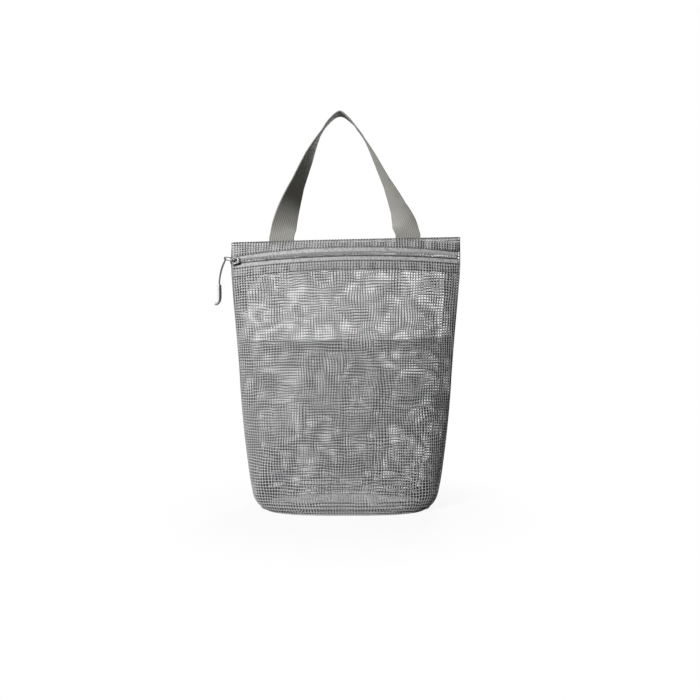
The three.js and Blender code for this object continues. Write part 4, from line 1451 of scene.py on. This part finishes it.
def pocket_rows():
    """The hem's row, the divider and the two sides of the pocket."""
    s = np.linspace(pocket_edge, -pocket_edge, hem_steps)
    hem = pocket_top - pocket_hem + row_inset
    rows = pocket_surface(s, hem + row_steps, 0 * row_steps)
    path, out = on_surface(rows)
    threads = [stitch_row(path - out * (yarn_thickness / 2), -out)]
    height = np.linspace(pocket_foot + 2 * row_inset, pocket_top - row_inset, side_steps)
    side_row = pocket_edge - side_row_share
    for place in (divider, side_row, -side_row):
        line = pocket_surface(place + slope_shares, height, 0 * height)
        out = facing(line)[:, 1]
        radius = divider_radius if place == divider else thread_radius
        threads.append(stitch_row(line[:, 1] - out * (yarn_thickness / 2), -out, radius=radius))
    return joined(threads)


def base_rows():
    """Stitches round the foot of both walls, where the base is sewn in."""
    height = base_row_height + row_steps
    front = on_surface(front_surface(seam_steps, height))
    back = on_surface(back_surface(seam_steps[::-1], height))
    return joined([stitch_row(*raised_row(*front)), stitch_row(*raised_row(*back))])


make_piece("pocket_stitches", pocket_rows(), thread_grey, "bag")
make_piece("base_stitches", base_rows(), thread_grey, "bag")

# %% [markdown]
# ## Floor and light
# The bag stands on a plain white ground in a white room. White comes from what the camera sees, not from
# strong lamps: the ground is white by itself and close round the bag a part of it is a lit surface that
# takes its shadow, and the room is white to the camera and in mirroring metal but only a weak fill light to
# the cloth. So the inner layers of net fall dark, as they do in the picture, and their painted shade darkens
# them further. A key lamp at the left front draws the folds, the strap's turn and the right side's shade,
# and a weaker lamp behind lights the back.

# %% Floor
def seen_directly(wire):
    """1 for rays from the camera, also in metal and through glass, and 0 for light that falls on cloth."""
    path = wire.node("ShaderNodeLightPath")
    names = ("Is Camera Ray", "Is Glossy Ray", "Is Transmission Ray")
    camera_ray, mirrored, clear = (path.beside(name) for name in names)
    return (camera_ray + mirrored + clear).clamped()


floor_size = 6.0
shadow_reach = (0.1, 0.2)
shadow_share = 0.1


def ground_look(wire):
    """To the camera plain white far off, with a share of lit ground near the bag, by the distance from the
    middle over the shadow's reach. To all other light it is a dark ground that throws little back on the
    cloth."""
    places = wire.node("ShaderNodeTexCoord", output=3)
    distance = wire.node("ShaderNodeVectorMath", {"operation": "LENGTH"}, {0: places}, 1)
    near, far = shadow_reach
    close_by = ((far - distance) / (far - near)).clamped()
    dim, lit = (wire.node("ShaderNodeBsdfDiffuse", values={"Color": opaque(grey)}) for grey in (0.12, 0.8))
    glow = wire.node("ShaderNodeEmission", values={"Color": opaque(1.0), "Strength": 1.0})
    shown = wire.node("ShaderNodeMixShader", values={0: close_by * shadow_share, 1: glow, 2: lit})
    return wire.node("ShaderNodeMixShader", values={0: seen_directly(wire), 1: dim, 2: shown})


def make_floor():
    """A level square under the bag."""
    corners = np.array([[-1, -1, 0], [1, -1, 0], [1, 1, 0], [-1, 1, 0]]) * floor_size / 2
    mesh = bpy.data.meshes.new("ground")
    mesh.from_pydata(corners.tolist(), [], [(0, 1, 2, 3)])
    mesh.materials.append(make_finish("white ground", ground_look))
    add_object("ground", mesh)


make_floor()

# %% Room and lamps
world = bpy.data.worlds.new("room")
bpy.context.scene.world = world
world.use_nodes = True
world.node_tree.nodes.clear()
room = Wire(world.node_tree)
fill_strength = 0.07
strength = fill_strength + seen_directly(room) * (1 - fill_strength)
light = room.node("ShaderNodeBackground", values={"Color": opaque(1.0), "Strength": strength})
room.node("ShaderNodeOutputWorld", values={"Surface": light})


def add_lamp(name, place, power, size):
    """A square lamp that looks at the middle of the bag."""
    lamp = bpy.data.lights.new(name, "AREA")
    lamp.energy = power
    lamp.size = size
    holder = add_object(name, lamp)
    holder.location = place
    across, ahead, rise = np.array([0, 0, bag_height / 2]) - np.array(place)
    holder.rotation_euler = (np.arctan2(np.hypot(across, ahead), -rise), 0, -np.arctan2(across, ahead))


add_lamp("key", (-0.9, -1.04, 0.75), 27.0, 0.35)
add_lamp("back", (0.4, 1.35, 0.8), 18.0, 0.5)

# %% View transform
view = bpy.context.scene.view_settings
view.view_transform = "Standard"
